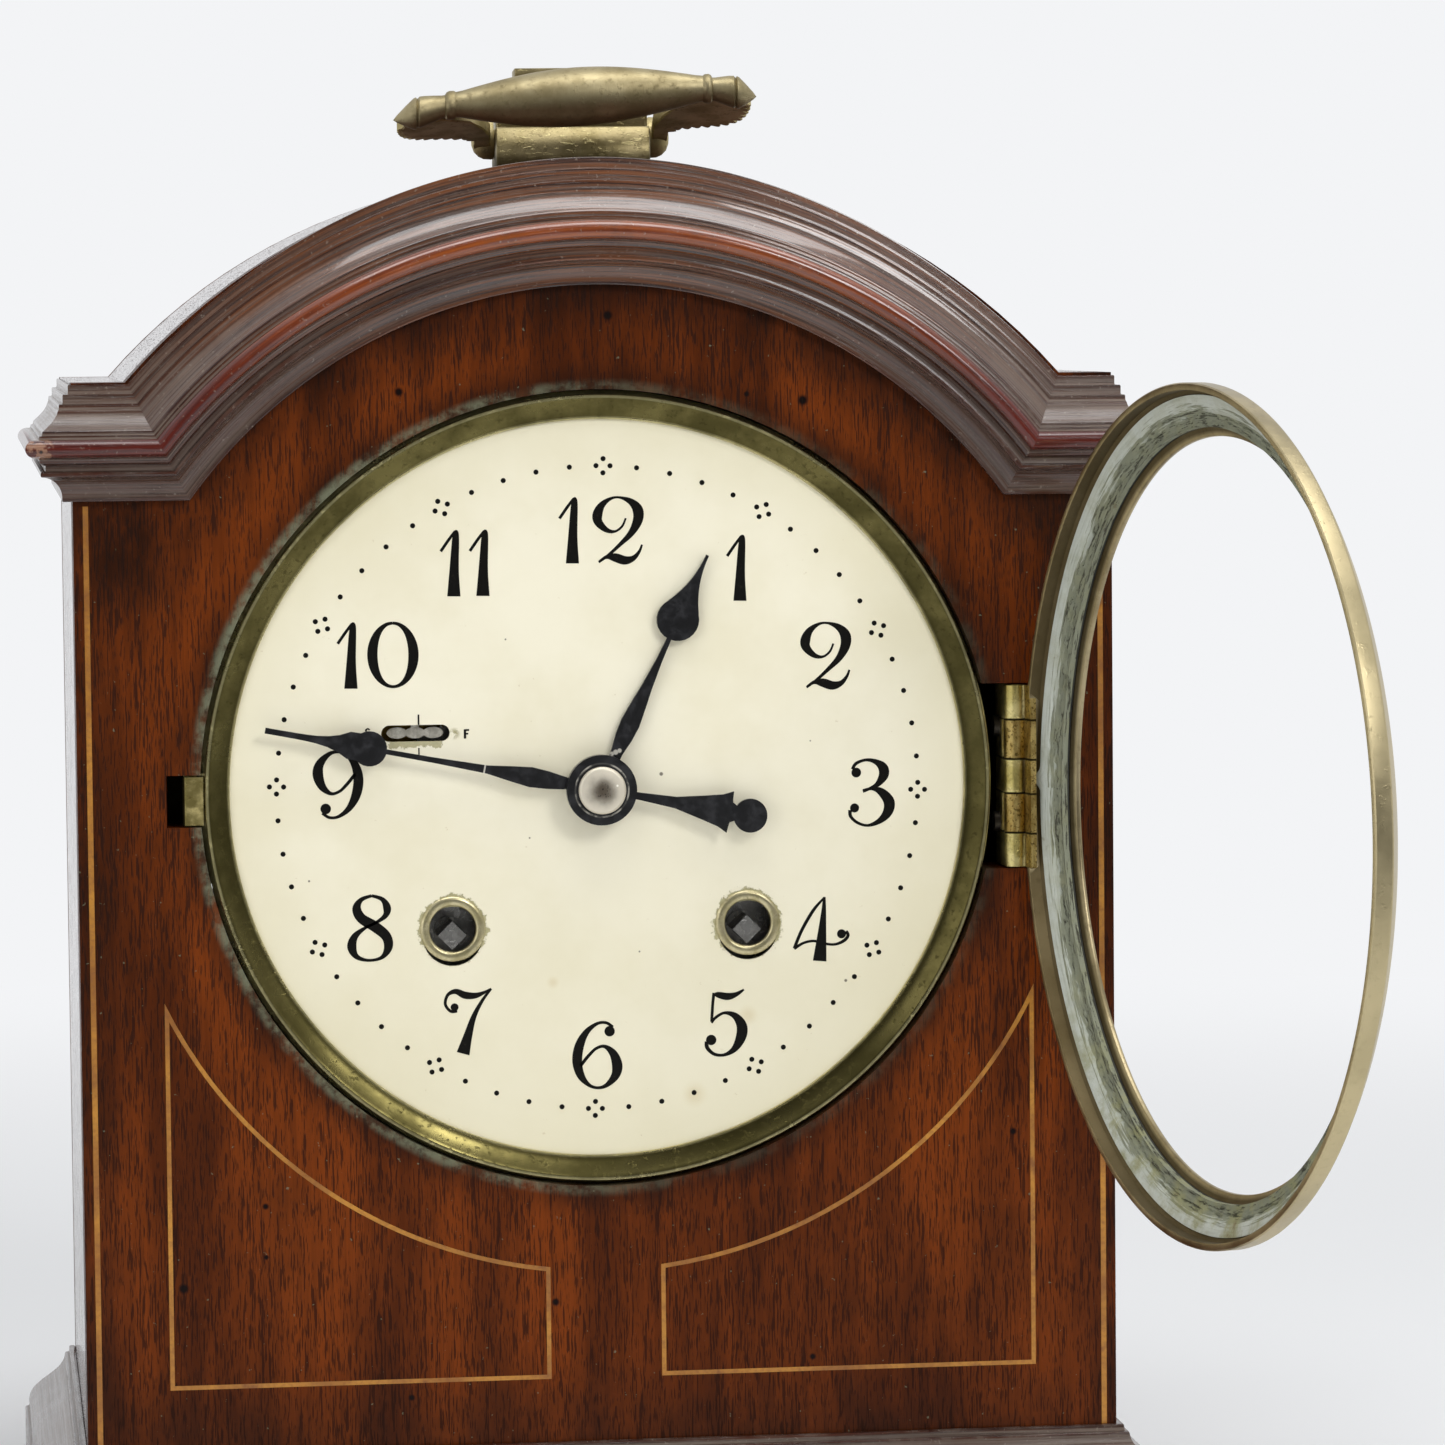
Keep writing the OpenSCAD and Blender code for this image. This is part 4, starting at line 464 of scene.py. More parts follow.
def old_metal(name, light, dark, stain, polish, tarnish=0.5, lie=(9, 9, 9)):
    """Metal gone dull in patches, with small stains and fine rubbing marks."""
    material, tree, shader = new_finish(name, Metallic=1.0)
    here = put(tree, "ShaderNodeTexCoord").outputs["Object"]
    tone = cloud(tree, here, lie, 5, 0.62)
    spot = ease(tree, cloud(tree, here, (1.5, 1.5, 1.5), 4, 0.6), 0.54, 0.7)
    rub_and_shade = cloud(tree, here, (0.35, 0.35, 5), 2)
    metal = blend(tree, ease(tree, tone, 0.36, 0.64), dark, light)
    metal = blend(tree, both(tree, spot, tarnish), metal, stain)
    tree.links.new(metal, shader.inputs["Base Color"])
    dull = put(tree, "ShaderNodeMath", {0: ease(tree, tone, 0.3, 0.7, polish + 0.12, polish),
                                        1: both(tree, spot, tarnish * 0.3)}, operation="ADD").outputs[0]
    tree.links.new(dull, shader.inputs["Roughness"])
    relief = put(tree, "ShaderNodeMath", {0: rub_and_shade, 1: spot}, operation="ADD").outputs[0]
    tree.links.new(rise(tree, relief, 0.02), shader.inputs["Normal"])
    return material


plate_brass = old_metal("plate brass", "c9a65a", "a98743", "7c5f2c", 0.22, 0.3)
wheel_brass = old_metal("wheel brass", "cdae66", "b3924e", "86683a", 0.2, 0.2, (4, 4, 4))
arbor_steel = old_metal("arbor steel", "b9b7b2", "8f8d89", "5d5853", 0.22, 0.3, (4, 4, 4))
spring_steel = old_metal("spring steel", "5c6478", "3c4152", "2a2824", 0.25, 0.4, (4, 4, 4))
bracket_steel = old_metal("bracket steel", "8d8a86", "66635f", "4a3a2c", 0.4, 0.5)
for name in ("front_plate", "back_plate", "pillars", "going_barrel", "strike_barrel", "platform"):
    finish_node(name, plate_brass)
for name in ("intermediate_wheel", "centre_wheel", "third_wheel", "fourth_wheel", "escape_wheel",
             "pin_wheel", "locking_wheel", "fly", "balance_wheel", "hour_wheel", "minute_wheel"):
    finish_node(name, wheel_brass)
for name in ("going_winding_arbor", "strike_winding_arbor", "clicks", "cannon_pinion", "pallet_lever",
             "hammer", "bell_stand", "rack"):
    finish_node(name, arbor_steel)
for name in ("going_mainspring", "strike_mainspring", "hairspring"):
    finish_node(name, spring_steel)
finish_node("movement_brackets", bracket_steel)
finish_node("regulator", old_metal("regulator steel", "f0ede4", "b9b5aa", "6f6a60", 0.5, 0.4, (3, 3, 3)))
finish_node("screws", old_metal("screw steel", "57524c", "3d3833", "2a241e", 0.45, 0.5, (3, 3, 3)))
finish_node("bell", old_metal("bell metal", "b79a5e", "8f7440", "5d4a2a", 0.28, 0.5, (12, 12, 12)))

# Dial
# A copper disc carries baked cream paint, printed in black with numerals, a ring of minute dots and
# the regulator's scale. The paint is worn at the winding holes and beside the slot.
dial_y = -65.5
slot_at = (-37.75, 12)
eyelets = [(-30.6, -28.5), (30.6, -28.5)]


def dial_paint():
    """Baked cream paint, eggshell smooth: yellowed to its edge, specked, and worn through to copper."""
    material, tree, shader = new_finish("dial paint", Coat_Weight=0.15, Coat_Roughness=0.15)
    here = put(tree, "ShaderNodeTexCoord").outputs["Object"]
    x, up, r = from_dial(tree, here)
    ragged = cloud(tree, here, (1.4, 1.4, 1.4), 4, 0.7)
    ragged = put(tree, "ShaderNodeMath", {0: ragged, 1: 0.5}, operation="SUBTRACT").outputs[0]
    ragged = both(tree, ragged, 0.011)
    age = cloud(tree, here, (30, 30, 30), 4, 0.6)
    paint = blend(tree, ease(tree, age, 0.35, 0.7), "f1ebd3", "e9e2c6")
    paint = blend(tree, ease(tree, r, 0.058, 0.077, 0, 0.5), paint, "dfd7b6")
    paint = blend(tree, ease(tree, up, 0.02, -0.075, 0, 0.45), paint, "ddd6b8")
    foxing = ease(tree, cloud(tree, here, (2.2, 2.2, 2.2), 4, 0.7), 0.69, 0.76)
    paint = blend(tree, both(tree, foxing, 0.4), paint, "b09a68")
    stain = spots(tree, here, [(30.4, -47.8, 2.6), (19.2, -64, 3.2), (-10, -40, 1.6)], 0.1)
    paint = blend(tree, both(tree, stain, 0.35), paint, "c9b480")
    dirt_and_shade = spots(tree, here, [(12.9, 2.7, 0.5), (33.5, -7, 0.28), (-14.5, -10, 0.25), (-60, -18, 0.3),
                              (8, -34, 0.25), (-19, 31, 0.25), (44, 9, 0.22), (51, -41, 0.4)], 0.5)
    paint = blend(tree, both(tree, dirt_and_shade, 0.8), paint, "3a2d1c")
    flat = put(tree, "ShaderNodeCombineXYZ", {"X": x, "Y": up}).outputs[0]
    chip = None
    for ex, ez in eyelets:
        off = put(tree, "ShaderNodeVectorMath", {0: flat, 1: (ex * MM, ez * MM, 0)},
                  operation="DISTANCE").outputs["Value"]
        off = put(tree, "ShaderNodeMath", {0: off, 1: both(tree, ragged, 0.4)}, operation="ADD").outputs[0]
        one = ease(tree, off, 0.0073, 0.0069)
        chip = one if chip is None else either(tree, chip, one)
    along_slot = put(tree, "ShaderNodeMath", {0: x, 1: slot_at[0] * MM}, operation="SUBTRACT").outputs[0]
    along_slot = put(tree, "ShaderNodeMath", {0: along_slot}, operation="ABSOLUTE").outputs[0]
    below = put(tree, "ShaderNodeMath", {0: up, 1: (slot_at[1] - 2.0) * MM}, operation="SUBTRACT").outputs[0]
    below = put(tree, "ShaderNodeMath", {0: below}, operation="ABSOLUTE").outputs[0]
    past = put(tree, "ShaderNodeMath", {0: along_slot, 1: 4.4 * MM}, operation="SUBTRACT").outputs[0]
    worn = either(tree, past, below)
    worn = put(tree, "ShaderNodeMath", {0: worn, 1: both(tree, ragged, 0.3)}, operation="ADD").outputs[0]
    chip = either(tree, chip, ease(tree, worn, 0.0011, 0.0008, 0, 0.9))
    corner = both(tree, spots(tree, here, [(slot_at[0] + 8.0, slot_at[1] - 0.2, 1.5)], 0.2),
                  ease(tree, ragged, 0.0004, 0.0001))
    chip = either(tree, chip, corner)
    bare = blend(tree, cloud(tree, here, (0.9, 0.9, 0.9), 3), "8f8a62", "c0b78c")
    paint = blend(tree, chip, paint, bare)
    tree.links.new(paint, shader.inputs["Base Color"])
    tree.links.new(ease(tree, chip, 0, 1, 0.38, 0.6), shader.inputs["Roughness"])
    swell = put(tree, "ShaderNodeMath", {0: both(tree, age, 0.5), 1: chip}, operation="SUBTRACT").outputs[0]
    tree.links.new(rise(tree, swell, 0.06), shader.inputs["Normal"])
    return material


finish_node("dial", dial_paint())


def ink_finish():
    """Printer's ink, matt black, a little thin in places."""
    material, tree, shader = new_finish("dial ink", Specular_IOR_Level=0.15)
    here = put(tree, "ShaderNodeTexCoord").outputs["Object"]
    thin = ease(tree, cloud(tree, here, (0.7, 0.7, 0.7), 3, 0.6), 0.58, 0.75)
    tree.links.new(blend(tree, both(tree, thin, 0.25), "0c0b07", "3a3428"),
                   shader.inputs["Base Color"])
    tree.links.new(ease(tree, thin, 0, 1, 0.42, 0.6), shader.inputs["Roughness"])
    return material


dial_ink = ink_finish()
one_stroke = [[(.02, 1, .03), (.01, .9, .10), (-.02, .4, .14), (-.03, 0, .2)],
              [(-.22, .68, .045), (-.10, .85, .045), (0, .98, .04)]]
six_stroke = [[(.6, .92, .05), (.5, .99, .045), (.36, .98, .05), (.2, .86, .09), (.09, .66, .14),
               (.05, .42, .15), (.1, .2, .12), (.22, .05, .06), (.36, 0, .045), (.5, .04, .07),
               (.63, .18, .13), (.66, .34, .16), (.6, .52, .12), (.47, .63, .055), (.34, .6, .045),
               (.24, .51, .05), (.17, .43, .05), (.1, .34, .05)], (.55, .86, .08)]
nought = [(.35 + .31 * math.sin(a), .5 + .48 * math.cos(a), .045 + .11 * math.sin(a) ** 2)
          for a in [math.tau * i / 24 for i in range(25)]]
nine_stroke = [[(.71 - x, 1 - y, w) for x, y, w in six_stroke[0]],
               (.71 - six_stroke[1][0], 1 - six_stroke[1][1], six_stroke[1][2])]
# Each numeral's strokes as (across, up, width) in parts of its height; a lone triple is a round blob
numerals = {
    "0": [nought],
    "1": one_stroke,
    "2": [[(.417, .673, .03), (.36, .55, .035), (.25, .475, .04), (.12, .5, .08), (0, .62, .13),
           (-.01, .74, .15), (.06, .88, .10), (.2, .975, .045), (.34, .985, .04), (.5, .92, .10),
           (.6, .8, .16), (.6, .64, .15), (.5, .45, .10), (.33, .28, .06), (.15, .12, .045),
           (0, .01, .03)],
          [(0, .02, .03), (.12, .09, .06), (.25, .08, .13), (.4, .035, .13), (.53, .07, .08),
           (.62, .17, .045), (.66, .27, .03)]],
    "3": [[(.06, .86, .05), (.12, .95, .05), (.27, 1, .045), (.42, .97, .08), (.53, .88, .15),
           (.54, .76, .15), (.44, .62, .08), (.3, .55, .045), (.22, .52, .045)], (.12, .81, .075),
          [(.22, .53, .05), (.36, .56, .05), (.5, .51, .12), (.62, .36, .17), (.6, .2, .15),
           (.48, .07, .09), (.3, 0, .045), (.14, .04, .045), (.03, .14, .05), (.02, .24, .06)],
          (.09, .27, .07)],
    "4": [[(.47, .99, .03), (.3, .8, .05), (.12, .5, .05), (0, .22, .05)],
          [(0, .22, .05), (.14, .3, .04), (.3, .33, .04), (.45, .29, .04), (.62, .27, .04),
           (.76, .32, .05), (.83, .4, .05), (.8, .47, .05)], (.73, .43, .07),
          [(.47, 1, .04), (.46, .8, .07), (.43, .45, .13), (.39, .02, .21)]],
    "5": [[(.15, .95, .03), (.2, .93, .09), (.35, .9, .11), (.48, .93, .07), (.6, 1, .03)],
          [(.14, .96, .05), (.12, .8, .045), (.1, .52, .045)],
          [(.1, .5, .03), (.16, .58, .045), (.3, .65, .045), (.46, .6, .1), (.56, .45, .16),
           (.55, .28, .16), (.45, .1, .1), (.3, .01, .05), (.14, .02, .05), (.03, .12, .06),
           (.02, .22, .06)], (.09, .24, .08)],
    "6": six_stroke,
    "7": [(.16, .73, .06), [(.2, .67, .04), (.1, .67, .045), (.02, .78, .045), (.06, .92, .05),
                            (.18, .97, .08), (.32, .91, .11), (.47, .9, .09), (.6, .94, .05),
                            (.72, 1, .03)],
          [(.72, 1, .035), (.58, .82, .05), (.45, .58, .08), (.36, .3, .13), (.28, .02, .2)]],
    "8": [[(.36, .99, .045), (.2, .93, .07), (.13, .8, .13), (.2, .65, .15), (.4, .52, .16),
           (.57, .37, .15), (.6, .2, .13), (.5, .05, .06), (.3, .01, .045), (.12, .07, .08),
           (.05, .22, .14), (.1, .38, .1), (.25, .5, .05), (.42, .58, .045), (.56, .68, .08),
           (.59, .8, .12), (.52, .93, .07), (.36, .99, .045)]],
    "9": nine_stroke,
    "S": [[(.5, .82, .18), (.3, .98, .18), (.05, .8, .2), (.25, .52, .22), (.5, .25, .2), (.25, .02, .18),
           (0, .18, .18)]],
    "F": [[(.05, 1, .26), (.05, 0, .26)], [(.05, .92, .2), (.5, .92, .2)], [(.05, .52, .18), (.4, .52, .18)]],
    "tick": [[(0, 1, .17), (0, 0, .17)]],
}
# What is printed: the sign, the left of its drawing from the place given, the place, and the height
figure_h = 13.6
printed = [("1", -.42, (1.1, 53.2), figure_h), ("2", -.05, (1.1, 53.2), figure_h),
           ("1", .06, (29.2, 45), figure_h), ("2", -.33, (47.8, 26.7), figure_h),
           ("3", -.3, (56, -2), figure_h), ("4", -.4, (45.7, -30.3), figure_h),
           ("5", -.3, (25.6, -49.2), figure_h), ("6", -.35, (-1.1, -55.3), figure_h),
           ("7", -.36, (-27.7, -47.8), figure_h), ("8", -.33, (-47.6, -27.9), figure_h),
           ("9", -.35, (-53.8, 1.7), figure_h), ("1", -.38, (-45.3, 28.2), figure_h),
           ("0", -.12, (-45.3, 28.2), figure_h), ("1", -.17, (-26.8, 46.8), figure_h),
           ("1", .27, (-26.8, 46.8), figure_h), ("S", -.25, (-47.6, 12.3), 1.7),
           ("F", -.25, (-27.2, 11.7), 1.9), ("tick", 0, (-37.1, 14.8), 2.1), ("tick", 0, (-37.1, 8.2), 1.6)]


def ink(bm, points, level):
    """A flat stroke through (across, up, width) points in millimetres, facing forwards."""
    fine = []
    for i in range(len(points) - 1):
        four = [points[max(0, min(len(points) - 1, i + d))] for d in (-1, 0, 1, 2)]
        for s in range(7):
            t = s / 7
            mix = (-t ** 3 + 2 * t ** 2 - t, 3 * t ** 3 - 5 * t ** 2 + 2, -3 * t ** 3 + 4 * t ** 2 + t,
                   t ** 3 - t ** 2)
            fine.append([sum(m * p[k] for m, p in zip(mix, four)) / 2 for k in range(3)])
    fine.append(list(points[-1]))
    pairs = []
    for i, (x, z, w) in enumerate(fine):
        a, b = fine[max(i - 1, 0)], fine[min(i + 1, len(fine) - 1)]
        run = Vector((b[0] - a[0], b[1] - a[1])).normalized() * w / 2
        pairs.append([bm.verts.new(Vector((x + s * run.y, level, dial_h + z - s * run.x)) * MM)
                      for s in (1, -1)])
    for (a, b), (c, d) in zip(pairs, pairs[1:]):
        bm.faces.new((a, c, d, b))


bm = bmesh.new()
level = dial_y - 0.03
for sign, left, (x, z), height in printed:
    for stroke in numerals[sign]:
        level -= 0.0005
        if isinstance(stroke, tuple):
            across, rise_up, radius = stroke
            centre = (x + (left + across) * height, dial_h + z + (rise_up - .5) * height)
            round_blob = bow(centre, radius * height, radius * height, 0, 342, 19)
            bm.faces.new([bm.verts.new(Vector((bx, level, bz)) * MM) for bx, bz in round_blob])
        else:
            ink(bm, [(x + (left + px) * height, z + (pz - .5) * height, w * height)
                     for px, pz, w in stroke], level)
for face in bm.faces:
    face.normal_update()
    if face.normal.y > 0:
        face.normal_flip()
mesh = bpy.data.meshes.new("dial_numerals")
bm.to_mesh(mesh)
bm.free()
stand_for(finished("dial_numerals", mesh, dial_ink), "case", "dial_paint")


def minute_track():
    """Sixty places round a circle: a dot at each minute and a diamond of four dots at each hour."""
    tree = bpy.data.node_groups.new("minute track", "GeometryNodeTree")
    sizes = {"Track radius": 66.4 * MM, "Dot radius": 0.54 * MM, "Diamond radius": 1.45 * MM}
    for label, value in sizes.items():
        tree.interface.new_socket(label, in_out="INPUT", socket_type="NodeSocketFloat").default_value = value
    tree.interface.new_socket("Dots", in_out="OUTPUT", socket_type="NodeSocketGeometry")
    given = put(tree, "NodeGroupInput").outputs
    dot = put(tree, "GeometryNodeMeshCircle", {"Vertices": 12, "Radius": given["Dot radius"]},
              fill_type="NGON").outputs[0]
    four = put(tree, "GeometryNodeMeshCircle", {"Vertices": 4, "Radius": given["Diamond radius"]}).outputs[0]
    diamond = put(tree, "GeometryNodeInstanceOnPoints", {"Points": four, "Instance": dot}).outputs[0]
    minutes = put(tree, "GeometryNodeMeshCircle", {"Vertices": 60,
                                                   "Radius": given["Track radius"]}).outputs[0]
    index = put(tree, "GeometryNodeInputIndex").outputs[0]
    left_over = put(tree, "ShaderNodeMath", {0: index, 1: 5.0}, operation="MODULO").outputs[0]
    between = put(tree, "ShaderNodeMath", {0: left_over, 1: 0.5}, operation="GREATER_THAN").outputs[0]
    on_hour = put(tree, "ShaderNodeMath", {0: left_over, 1: 0.5}, operation="LESS_THAN").outputs[0]
    turn = put(tree, "ShaderNodeMath", {0: index, 1: math.tau / 60}, operation="MULTIPLY").outputs[0]
    spin = put(tree, "ShaderNodeCombineXYZ", {"Z": turn}).outputs[0]
    singles = put(tree, "GeometryNodeInstanceOnPoints",
                  {"Points": minutes, "Selection": between, "Instance": dot}).outputs[0]
    groups = put(tree, "GeometryNodeInstanceOnPoints",
                 {"Points": minutes, "Selection": on_hour, "Instance": diamond, "Rotation": spin}).outputs[0]
    joined = put(tree, "GeometryNodeJoinGeometry")
    for part in (groups, singles):
        tree.links.new(part, joined.inputs[0])
    slack = math.radians(-1.3)
    placed = put(tree, "GeometryNodeTransform",
                 {"Geometry": joined.outputs[0], "Rotation": (math.pi / 2, -slack, 0),
                  "Translation": (0, (dial_y - 0.03) * MM, dial_h * MM)}).outputs[0]
    real = put(tree, "GeometryNodeRealizeInstances", {"Geometry": placed}).outputs[0]
    inked = put(tree, "GeometryNodeSetMaterial", {"Geometry": real, "Material": dial_ink}).outputs[0]
    tree.links.new(inked, put(tree, "NodeGroupOutput").inputs[0])
    return tree, sizes


def from_tree(name, tree, sizes, material):
    """Runs a node tree on an empty mesh and keeps the result as a plain mesh."""
    seed = bpy.data.objects.new(name + "_seed", bpy.data.meshes.new(name + "_seed"))
    bpy.context.scene.collection.objects.link(seed)
    modifier = seed.modifiers.new("track", "NODES")
    modifier.node_group = tree
    for item in tree.interface.items_tree:
        if item.in_out == "INPUT":
            modifier[item.identifier] = sizes[item.name]
    shaped = seed.evaluated_get(bpy.context.evaluated_depsgraph_get())
    mesh = bpy.data.meshes.new_from_object(shaped)
    mesh.name = name
    bpy.data.objects.remove(seed)
    return finished(name, mesh, material)


stand_for(from_tree("minute_dots", *minute_track(), dial_ink), "case", "dial_paint")

# Dial ring
# A spun brass ring dresses the opening: a narrow rim flush with the panel, a dished flank running in
# to the dial, and a small bead at its inner edge. It has gone dark and olive.


def turned_rows(profile, y, z, steps, shake=None, swing=None):
    """Rows round an axis through (0, z): profile points are (radius, distance forward of y)."""
    rows = []
    for i in range(steps):
        a = math.tau * i / steps
        row = []
        for k, (r, h) in enumerate(profile):
            if shake:
                r, h = shake(r, h, a, k)
            point = Vector((r * math.cos(a), y - h, z + r * math.sin(a)))
            row.append(swing(point) if swing else point)
        rows.append(row)
    return rows


ring = [(81.95, -5.2), (81.95, -4.4), (81.15, -4.2), (81.15, -0.75), (80.95, -0.5), (80.35, -0.5)]
ring += [(80.2 - 3.7 * t / 8, -0.55 - 1.75 * (1 - (1 - t / 8) ** 1.35)) for t in range(9)]
ring += [(76.35, -2.15), (76.1, -2.2), (76.0, -2.45), (76.0, -2.95), (79.6, -2.95), (79.6, -5.2)]


def ring_finish():
    """Spun brass gone olive brown in a thin even skin, lighter at its two edges: rubbed there, and a painted
    highlight where the rounded edges catch light.
    """
    material, tree, shader = new_finish("ring brass", Metallic=1.0)
    here = put(tree, "ShaderNodeTexCoord").outputs["Object"]
    r = from_dial(tree, here)[2]
    tone = cloud(tree, here, (14, 14, 14), 5, 0.62)
    spot = ease(tree, cloud(tree, here, (1.3, 1.3, 1.3), 4, 0.6), 0.55, 0.7)
    flank = blend(tree, ease(tree, tone, 0.36, 0.64), "4c4627", "6a623b")
    flank = blend(tree, both(tree, spot, 0.45), flank, "38331a")
    # Both edges are painted bright: rubbing, and a painted highlight.
    edges = either(tree, ease(tree, r, 80.25 * MM, 80.6 * MM), ease(tree, r, 76.7 * MM, 76.3 * MM))
    rubbed_and_painted_highlight = both(tree, edges, ease(tree, tone, 0.3, 0.55, 0.45, 1))
    tree.links.new(blend(tree, rubbed_and_painted_highlight, flank, "cdc38f"), shader.inputs["Base Color"])
    dull = put(tree, "ShaderNodeMath", {0: ease(tree, tone, 0.3, 0.7, 0.36, 0.24), 1: both(tree, spot, 0.15)},
               operation="ADD").outputs[0]
    tree.links.new(dull, shader.inputs["Roughness"])
    relief = put(tree, "ShaderNodeMath", {0: tone, 1: spot}, operation="ADD").outputs[0]
    tree.links.new(rise(tree, relief, 0.02), shader.inputs["Normal"])
    return material


ring_brass = ring_finish()
stand_for(skin("opening_ring", turned_rows(ring, front_y, dial_h, 288), ring_brass, loop=True),
          "case", "aged_brass", "dial_ring")

# Winding eyelets
# A pressed brass eyelet lines each winding hole, its collar rolled over the paint.
eyelet_brass = old_metal("eyelet brass", "d3c9a2", "b0a67c", "7d7452", 0.3, 0.6, (3, 3, 3))
eyelet = [(4.75, -1.0), (5.25, -1.0), (5.25, -0.02), (6.65, -0.02), (6.7, 0.12), (6.45, 0.4), (6.0, 0.5),
          (5.3, 0.5), (4.95, 0.35), (4.75, 0.05)]
rims = []
for name, (x, z) in zip(("eyelet_left", "eyelet_right"), eyelets):
    rows = [[p + Vector((x, 0, 0)) for p in row] for row in turned_rows(eyelet, dial_y, dial_h + z, 96)]
    rims.append(skin(name, rows, eyelet_brass, loop=True))
stand_for(rims[0], "case", "brass", "winding_eyelets")
stand_for(rims[1], "case", "brass")

# Hands
# The hour and minute hands are sawn from thin steel and lacquered black. A steel nut holds the minute
# hand's black collar on its square, and the lacquer is chipped at a few places.


def black_lacquer(name, chips, bright_ring=None, scratch=None):
    """Black lacquer, bare at the chips, on a worn ring and on a scratch across the hand, which is given
    by the way along the hand and the distance."""
    material, tree, shader = new_finish(name, Coat_Weight=0.2, Coat_Roughness=0.2)
    here = put(tree, "ShaderNodeTexCoord").outputs["Object"]
    haze = ease(tree, cloud(tree, here, (3, 3, 3), 4, 0.6), 0.4, 0.75)
    tone = blend(tree, haze, "0b0b0d", "1c1c20")
    bare = both(tree, spots(tree, here, chips, 0.6),
                ease(tree, cloud(tree, here, (0.5, 0.5, 0.5), 2), 0.25, 0.35))
    x, up, r = from_dial(tree, here)
    if bright_ring:
        line = both(tree, ease(tree, r, (bright_ring - 0.3) * MM, bright_ring * MM),
                    ease(tree, r, (bright_ring + 0.25) * MM, (bright_ring + 0.05) * MM))
        worn = ease(tree, cloud(tree, here, (2.5, 2.5, 2.5), 3, 0.6), 0.42, 0.6, 0.08, 0.75)
        bare = either(tree, bare, both(tree, line, worn))
    if scratch:
        (wx, wz), far = scratch
        gone = put(tree, "ShaderNodeMath", {0: both(tree, x, wx), 1: both(tree, up, wz)},
                   operation="ADD").outputs[0]
        off = put(tree, "ShaderNodeMath", {0: gone, 1: far * MM}, operation="SUBTRACT").outputs[0]
        off = put(tree, "ShaderNodeMath", {0: off}, operation="ABSOLUTE").outputs[0]
        bare = either(tree, bare, ease(tree, off, 0.22 * MM, 0.1 * MM))
    tree.links.new(blend(tree, bare, tone, "b8b4a8"), shader.inputs["Base Color"])
    tree.links.new(ease(tree, haze, 0, 1, 0.3, 0.48), shader.inputs["Roughness"])
    relief = put(tree, "ShaderNodeMath", {0: haze, 1: bare}, operation="SUBTRACT").outputs[0]
    tree.links.new(rise(tree, relief, 0.02), shader.inputs["Normal"])
    return material


finish_node("hour_hand", black_lacquer("hour lacquer",
                                       [(2.5, 7.2, 0.55), (3.3, 7.5, 0.65), (4.1, 7.8, 0.55)]))
finish_node("minute_hand", black_lacquer("minute lacquer", [(35.5, -6.8, 0.25)], 5.5,
                                         ((-0.982, 0.191), 24.4)))
nut = [(4.85, 0.0), (4.9, 0.9), (4.75, 1.2), (4.4, 1.42)]
nut += [(4.2 * (1 - t / 8), 1.45 + 0.35 * (1 - (1 - t / 8) ** 2)) for t in range(9)] + [(0, 0)]


def nut_finish():
    """Turned steel with a soft satin face, darkened at its middle by old oil; the domed face's reflection is
    painted as a dark middle grading to a light rim, with a small painted highlight right of the middle.
    """
    material, tree, shader = new_finish("nut steel", Metallic=0.6)
    here = put(tree, "ShaderNodeTexCoord").outputs["Object"]
    x, up, r = from_dial(tree, here)
    tone = cloud(tree, here, (2.5, 2.5, 2.5), 4, 0.6)
    uneven = put(tree, "ShaderNodeMath", {0: tone, 1: 0.5}, operation="SUBTRACT").outputs[0]
    wide = put(tree, "ShaderNodeMath", {0: r, 1: both(tree, uneven, 0.002)}, operation="ADD").outputs[0]
    # Painted reflection: dark in the middle, light at the rim, as the domed face would reflect.
    steel = blend(tree, ease(tree, wide, 0.0004, 0.0042), "5d5447", "dcd4c2")
    stain = both(tree, ease(tree, wide, 0.0017, 0.0008),
                 ease(tree, cloud(tree, here, (0.7, 0.7, 0.7), 3, 0.6), 0.5, 0.6))
    steel = blend(tree, stain, steel, "28221b")
    # Painted highlight: a small near-white dot.
    steel = blend(tree, spots(tree, here, [(3.0, 1.0, 0.32)]), steel, "fffbf0")
    tree.links.new(steel, shader.inputs["Base Color"])
    tree.links.new(ease(tree, tone, 0.3, 0.7, 0.42, 0.55), shader.inputs["Roughness"])
    relief = put(tree, "ShaderNodeMath", {0: tone, 1: stain}, operation="SUBTRACT").outputs[0]
    tree.links.new(rise(tree, relief, 0.04), shader.inputs["Normal"])
    return material


stand_for(skin("hub_nut", turned_rows(nut, -71.3, dial_h, 96), nut_finish(), loop=True), "minute", "steel",
          "hand_nut")

# Bezel and putty
# The round bezel is spun from sheet brass with a rolled lip, and a knuckle hinge carries it at the
# dial's right. Its glass is gone: only the old bed of white putty is left, cracked, soiled and torn.
hinge_x, hinge_y, hinge_z, hinge_half, knuckle_r = 86.5, -68.0, 166.2, 18.85, 2.3
bezel_open = 102.3
bezel_y, bezel_z = -68.8, 164.0
bezel_r, skirt_r, bezel_in, rim_h, bezel_d = 84.2, 82.7, 73.7, 3.9, 8.7
seat_r, seat_d, pane_t = 75.55, 6.7, 1.6


def swung(point):
    """A point of the closed bezel, turned to where the open bezel stands."""
    a = math.radians(bezel_open)
    x, y = point.x - hinge_x, point.y - hinge_y
    return Vector((hinge_x + x * math.cos(a) - y * math.sin(a),
                   hinge_y + x * math.sin(a) + y * math.cos(a), point.z))


